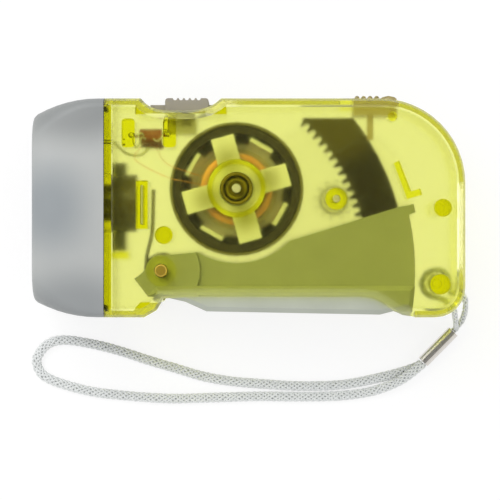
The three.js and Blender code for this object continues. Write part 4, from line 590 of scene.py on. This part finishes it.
vinylLook = {"tint": "E9E7D2", "roughness": 0.4, "ior": 1.53, "clarity": 0.65}
copperLook = {"colour": "FFCF82", "shade": "F79458", "roughness": 0.5, "grain": 0.3, "relief": 0.1}
diodeLook = {"colour": "BC6A3C", "shade": "98502C", "roughness": 0.3, "grain": 0.5, "relief": 0.15}
# Natural PVC drawn over stranded wire: milky, soft gloss
wireVinyl = clearFinish("wireVinyl", vinylLook)
# Copper wire, drawn and enamelled: warm, with its gloss broken up by the turns
enamelledCopper = metalFinish("enamelledCopper", copperLook)
# Epoxy, moulded round the chip and lacquered: reddish brown, glossy; the wires under it have the same brown
diodeEpoxy = mouldedFinish("diodeEpoxy", diodeLook)
wirePiece("lamp_wire_round", [lampWire], wires["lamp"], wireVinyl, ["lamp_wire"])
for number, route in enumerate(coilLeads, 1):
    wirePiece(f"coil_lead_round_{number}", [route], wires["coil"], enamelledCopper,
              [f"coil_lead_{number}"])
dress("rectifier_diode", "diode_body", "housing", diodeEpoxy)
diodeLeads = [
    [(-28.3, 17.2, 18), (-28.2, 15.6, 19.2), (-27.4, 14.4, 19.8), (-26.6, 15.6, 20.1), (-26.2, 16.9, 20.1),
     (-25.2, 16.3, 20.1)],
    [(-19.6, 17.2, 18), (-20.4, 18.1, 19.6), (-21.3, 16.9, 20.1), (-22.4, 15.9, 20.1), (-23.4, 16.5, 20.1)],
    [(-27.2, 16.9, 20.1), (-26.4, 17.9, 20.2), (-25.6, 17.2, 20.2)],
]
# Tinned legs, curled over the diode when it was soldered in
wirePiece("diode_legs", diodeLeads, wires["leg"], tinnedSteel)


pair = {"start": (-26.4, 15.3, 15.1), "end": (-21.2, 14.9, 15.1), "reach": 0.45, "turns": 2.2, "steps": 40}


def twistedPair():
    # Two insulated wires twisted round each other under the diode
    start, end, steps = Vector(pair["start"]), Vector(pair["end"]), pair["steps"]
    along = (end - start).normalized()
    side = Vector((0, 0, 1)).cross(along).normalized()
    up = along.cross(side)
    routes = []
    for half in (0, math.pi):
        angles = [half + math.tau * pair["turns"] * step / steps for step in range(steps + 1)]
        routes.append([start.lerp(end, step / steps)
                       + (side * math.cos(angle) + up * math.sin(angle)) * pair["reach"]
                       for step, angle in enumerate(angles)])
    return routes


wirePiece("diode_pair", twistedPair(), wires["pair"], diodeEpoxy)
solder = {"flow": (1.1, 0.9, 0.8),
          "blobs": [((-28.6, 17.3, 18), 0.8), ((-19.9, 17.6, 18.2), 0.75), ((-20.3, 18.3, 18.6), 0.5)]}
bm = bmesh.new()
for place, size in solder["blobs"]:
    blob = bmesh.ops.create_icosphere(bm, subdivisions=2, radius=size * mm)
    bmesh.ops.scale(bm, vec=solder["flow"], verts=blob["verts"])
    bmesh.ops.translate(bm, vec=Vector(place) * mm, verts=blob["verts"])
newPiece("diode_solder", meshFrom("diode_solder", bm), "housing", tinnedSteel)
print("circuit dressed")

# Dynamo: flywheel cup with its magnet, claw stators, bobbin, winding and the hub's bush
hub = {"x": -2.937, "y": 4.116}
claws = {"middle": 7.4, "turns": (17, 107, 197, 287)}


def hubPatch(reach, rise, colour, amount, away=0, turn=0):
    # A round patch on the flywheel's axis, or away from it at a turn
    turned = math.radians(turn)
    return {"centre": (hub["x"] + away * math.cos(turned), hub["y"] + away * math.sin(turned), 0),
            "reach": (reach, reach, 0), "rise": rise, "colour": colour, "amount": amount}


# The patches paint light: the dark middle leaves the rim a painted lit olive, and a painted lighter spot brightens the
# shaded hub
cupLook = {"colour": "A39C6C", "shade": "928B5E", "roughness": 0.26, "grain": 0.3, "relief": 0.15, "edge": 0.8,
           "patches": [hubPatch(16.9, 0.24, "453B2C", 1.0), hubPatch(4.8, 0.15, "A8975C", 1.0)]}
ferriteLook = {"colour": "4A4236", "shade": "3C352A", "roughness": 0.35, "grain": 0.15, "relief": 0.3}
bobbinLook = {"tint": "FBF6E6", "roughness": 0.15, "ior": 1.53, "clarity": 0.96}
# Glass filled nylon, moulded: dark and satin. Its colour is painted light: darker over the middle and lighter olive
# toward the rim, where light gets into it, and a lighter brown spot round the hub, painted light in its deep shade
filledNylon = mouldedFinish("filledNylon", cupLook)
# Ferrite powder, pressed and sintered: dark grey, matt, slightly pitted
sinteredFerrite = mouldedFinish("sinteredFerrite", ferriteLook)
# Natural nylon, moulded thin: all but clear, so that the copper shows through
naturalNylon = clearFinish("naturalNylon", bobbinLook)
clawLook = {"colour": "FEFDFA", "shade": "F6F5EE", "roughness": 0.5, "grain": 0.2, "stretch": (1, 6, 1),
            "relief": 0.4, "edge": 0.3,
            # Each patch is painted shade on a claw arm
            "patches": [hubPatch(5.6, 1.0, "BFBD9E", 0.95, claws["middle"], turn) for turn in claws["turns"]]}
pinLook = {"colour": "F4EFD0", "shade": "DCD6B4", "roughness": 0.42, "grain": 0.2, "relief": 0.2, "edge": 0.3}
# Steel sheet, pressed into claws and tin plated: pale, with a greyer spot on each arm, a painted shade where the arm
# slopes away from the light, and bright at its edges
clawTin = metalFinish("clawTin", clawLook)
# Steel pin, ground: a turned end with a fine bright rim
groundPin = metalFinish("groundPin", pinLook)
dress("flywheel_cup", "flywheel_drum", "flywheel", filledNylon)
dress("ring_magnet", "magnet_ring", "flywheel", sinteredFerrite)
dress("stator_front_claw", "front_claw_plate", "housing", clawTin)
dress("stator_rear_claw", "rear_claw_plate", "housing", clawTin)
dress("coil_bobbin", "bobbin_spool", "housing", naturalNylon)
dress("flywheel_axle", "flywheel_pin", "housing", groundPin)
dress("gear_axle", "gear_pin", "housing", groundPin)

winding = {"inner": 6.16, "outer": 8.85, "low": 13.35, "high": 19.85, "wire": 0.34, "sides": 96}


def turnedMesh(name, profile):
    # A closed profile of radii and levels, spun round the flywheel's axis
    bm = bmesh.new()
    centre = Vector((hub["x"], hub["y"], 0)) * mm
    corners = [bm.verts.new(centre + Vector((radius, 0, level)) * mm) for radius, level in profile]
    edges = [bm.edges.new((a, b)) for a, b in zip(corners, corners[1:] + corners[:1])]
    bmesh.ops.spin(bm, geom=corners + edges, cent=centre, axis=(0, 0, 1), angle=math.tau,
                   steps=winding["sides"], use_merge=True)
    bmesh.ops.remove_doubles(bm, verts=bm.verts, dist=weld / 2)
    bmesh.ops.recalc_face_normals(bm, faces=bm.faces)
    return meshFrom(name, bm)


def windingProfile():
    # The outer layer of turns, one bump to a turn
    turns = int((winding["high"] - winding["low"]) / winding["wire"])
    crown = winding["outer"] - winding["wire"] / 2
    profile = [(winding["inner"], winding["low"]), (crown, winding["low"])]
    for turn in range(turns):
        middle = winding["low"] + winding["wire"] * (turn + 0.5)
        for angle in (-60, 0, 60):
            profile.append((crown + winding["wire"] / 2 * math.cos(math.radians(angle)),
                            middle + winding["wire"] / 2 * math.sin(math.radians(angle))))
    return profile + [(crown, winding["high"]), (winding["inner"], winding["high"])]


newPiece("wound_coil", turnedMesh("wound_coil", windingProfile()), "housing", enamelledCopper,
         ["coil_inner_layers", "coil_outer_layer"])

bush = {"inner": 3.12, "outer": 3.88, "low": 24.6, "high": 26.4, "edge": 0.12}
bushLook = {"colour": "9C8F62", "shade": "82764E", "roughness": 0.58, "grain": 0.25, "relief": 0.3}
# Bronze powder, pressed, sintered and soaked in oil: dull and dark
sinteredBronze = metalFinish("sinteredBronze", bushLook)


def bushProfile():
    # A plain ring, with its upper edges broken
    inner, outer, low, high, edge = (bush[part] for part in ("inner", "outer", "low", "high", "edge"))
    return [(inner, low), (outer, low), (outer, high - edge), (outer - edge, high), (inner + edge, high),
            (inner, high - edge)]


newPiece("hub_bush", turnedMesh("hub_bush", bushProfile()), "housing", sinteredBronze)
print("dynamo dressed")

# Gears, lever and springs
gearLook = {"tint": "FEFEFA", "roughness": 0.25, "ior": 1.48, "clarity": 1.0}
sectorLook = {"colour": "30281A", "shade": "241D12", "roughness": 0.26, "grain": 0.3, "relief": 0.2,
              "patches": [
                  # The patches are painted light on the sector's upper end
                  {"centre": (22, 21, 0), "reach": (14, 13, 0), "rise": 0.7, "colour": "6F6636", "amount": 0.85},
                  {"centre": (17.5, 12, 0), "reach": (7, 10, 0), "rise": 0.9, "colour": "6F6636", "amount": 0.5},
              ]}
leverLook = {"colour": "C0C5B9", "shade": "AEB3A6", "roughness": 0.36, "grain": 0.35, "relief": 0.15, "edge": 0.3}
springLook = {"colour": "A5A299", "shade": "86837B", "roughness": 0.3, "grain": 0.2, "relief": 0.1}
brassLook = {"colour": "FFE27A", "shade": "E8C456", "roughness": 0.5, "grain": 0.2, "stretch": (1, 1, 6),
             "relief": 0.3, "edge": 0.35,
             # The patch is painted shade in the middle of the screw's end
             "patches": [{"centre": (-21.2, -15.8, 0), "reach": (1.45, 1.45, 0), "rise": 0.3, "colour": "9C8226",
                          "amount": 0.9}]}
# Natural acetal, moulded: so pale that the gears all but vanish against the light, so it is drawn clear
naturalAcetal = clearFinish("naturalAcetal", gearLook)
# Black nylon, moulded; its upper end is painted lighter olive, painted light where the pale gear lying over it sends
# light onto it
blackNylonPaintedLight = mouldedFinish("blackNylonPaintedLight", sectorLook)
# Grey polypropylene, moulded: soft satin, faintly waxy
greyPolypropylene = mouldedFinish("greyPolypropylene", leverLook)
# Music wire, drawn and oiled: grey with a hard narrow gloss
musicWire = metalFinish("musicWire", springLook)
# Free cutting brass, turned: fine grooves, and a painted shade in the middle, where the tool leaves a hollow
turnedBrass = metalFinish("turnedBrass", brassLook)
dress("main_gear", "main_gear_dressed", "drive_gear", naturalAcetal)
dress("drive_pinion", "drive_pinion_dressed", "drive_gear", naturalAcetal)
dress("sector_gear", "sector_gear_dressed", "lever", blackNylonPaintedLight)
dress("squeeze_lever", "lever_shell", "lever", greyPolypropylene)
dress("pivot_screw", "pivot_screw_dressed", "housing", turnedBrass)

leverSpring = {"x": -21.2, "y": -15.8, "mean": 3.95, "turns": 5, "pitch": 1.4, "low": 12.6, "wire": 0.9,
               "restX": -23.3, "restY": 4, "armEnd": -6, "rise": 0.25, "bow": 0.3}
clutchSpring = {"x": 21.23, "y": 1.576, "mean": 3.3, "turns": 3, "pitch": 1.1, "low": 8.45, "wire": 0.5}
coilSteps = 16


def coilPoints(spring, turns, start, way):
    # A helix that rises one pitch to a turn
    angles = [math.radians(start + way * 360 * step / coilSteps) for step in range(round(turns * coilSteps) + 1)]
    return [(spring["x"] + spring["mean"] * math.cos(angle), spring["y"] + spring["mean"] * math.sin(angle),
             spring["low"] + spring["pitch"] * step / coilSteps) for step, angle in enumerate(angles)]


def leverSpringRoute():
    # One arm along the lever, the coil round the pivot, then the other arm up to its rest in the case
    spring = leverSpring
    count = spring["turns"] + spring["rise"]
    below, top = spring["y"] - spring["mean"], spring["low"] + spring["pitch"] * count
    first = [(spring["armEnd"], below, spring["low"]), ((spring["armEnd"] + spring["x"]) / 2, below, spring["low"])]
    last = [(spring["x"] - spring["mean"] + spring["bow"], spring["y"] + spring["mean"], top),
            (spring["restX"] - spring["bow"], (spring["restY"] + spring["y"]) / 2, top),
            (spring["restX"], spring["restY"], top)]
    return first + coilPoints(spring, count, -90, -1) + last


wirePiece("lever_spring_wire", [leverSpringRoute()], leverSpring["wire"], musicWire,
          ["lever_spring"])
wirePiece("clutch_spring_wire", [coilPoints(clutchSpring, clutchSpring["turns"], 0, 1)], clutchSpring["wire"],
          musicWire, ["clutch_spring"], "drive_gear")
print("gears, lever and springs dressed")

# Sliders
sliderLook = {"colour": "A9A299", "shade": "9C958B", "roughness": 0.5, "grain": 0.25, "relief": 0.25, "edge": 0.25}
# Taupe ABS, moulded with a fine spark finish: matt
sparkedAbs = mouldedFinish("sparkedAbs", sliderLook)
dress("switch_knob", "switch_knob_dressed", "switch", sparkedAbs)
lockLook = {"tint": "C6B892", "roughness": 0.4, "ior": 1.53, "clarity": 0.85}
# Smoke nylon, moulded: taupe at its ribs, and faint inside the case, where light comes through it
smokeNylon = clearFinish("smokeNylon", lockLook)
dress("lock_slider", "lock_slider_dressed", "lock", smokeNylon)
# Brass tube, nickel plated and crimped: a warm grey mirror with fine drawing lines
plateLook = {"colour": "E4E0D9", "shade": "CFCBC4", "roughness": 0.32, "grain": 0.3, "relief": 0.15}
nickelPlate = metalFinish("nickelPlate", plateLook)
ferrule.data.materials.clear()
ferrule.data.materials.append(nickelPlate)
print("sliders and ferrule dressed")
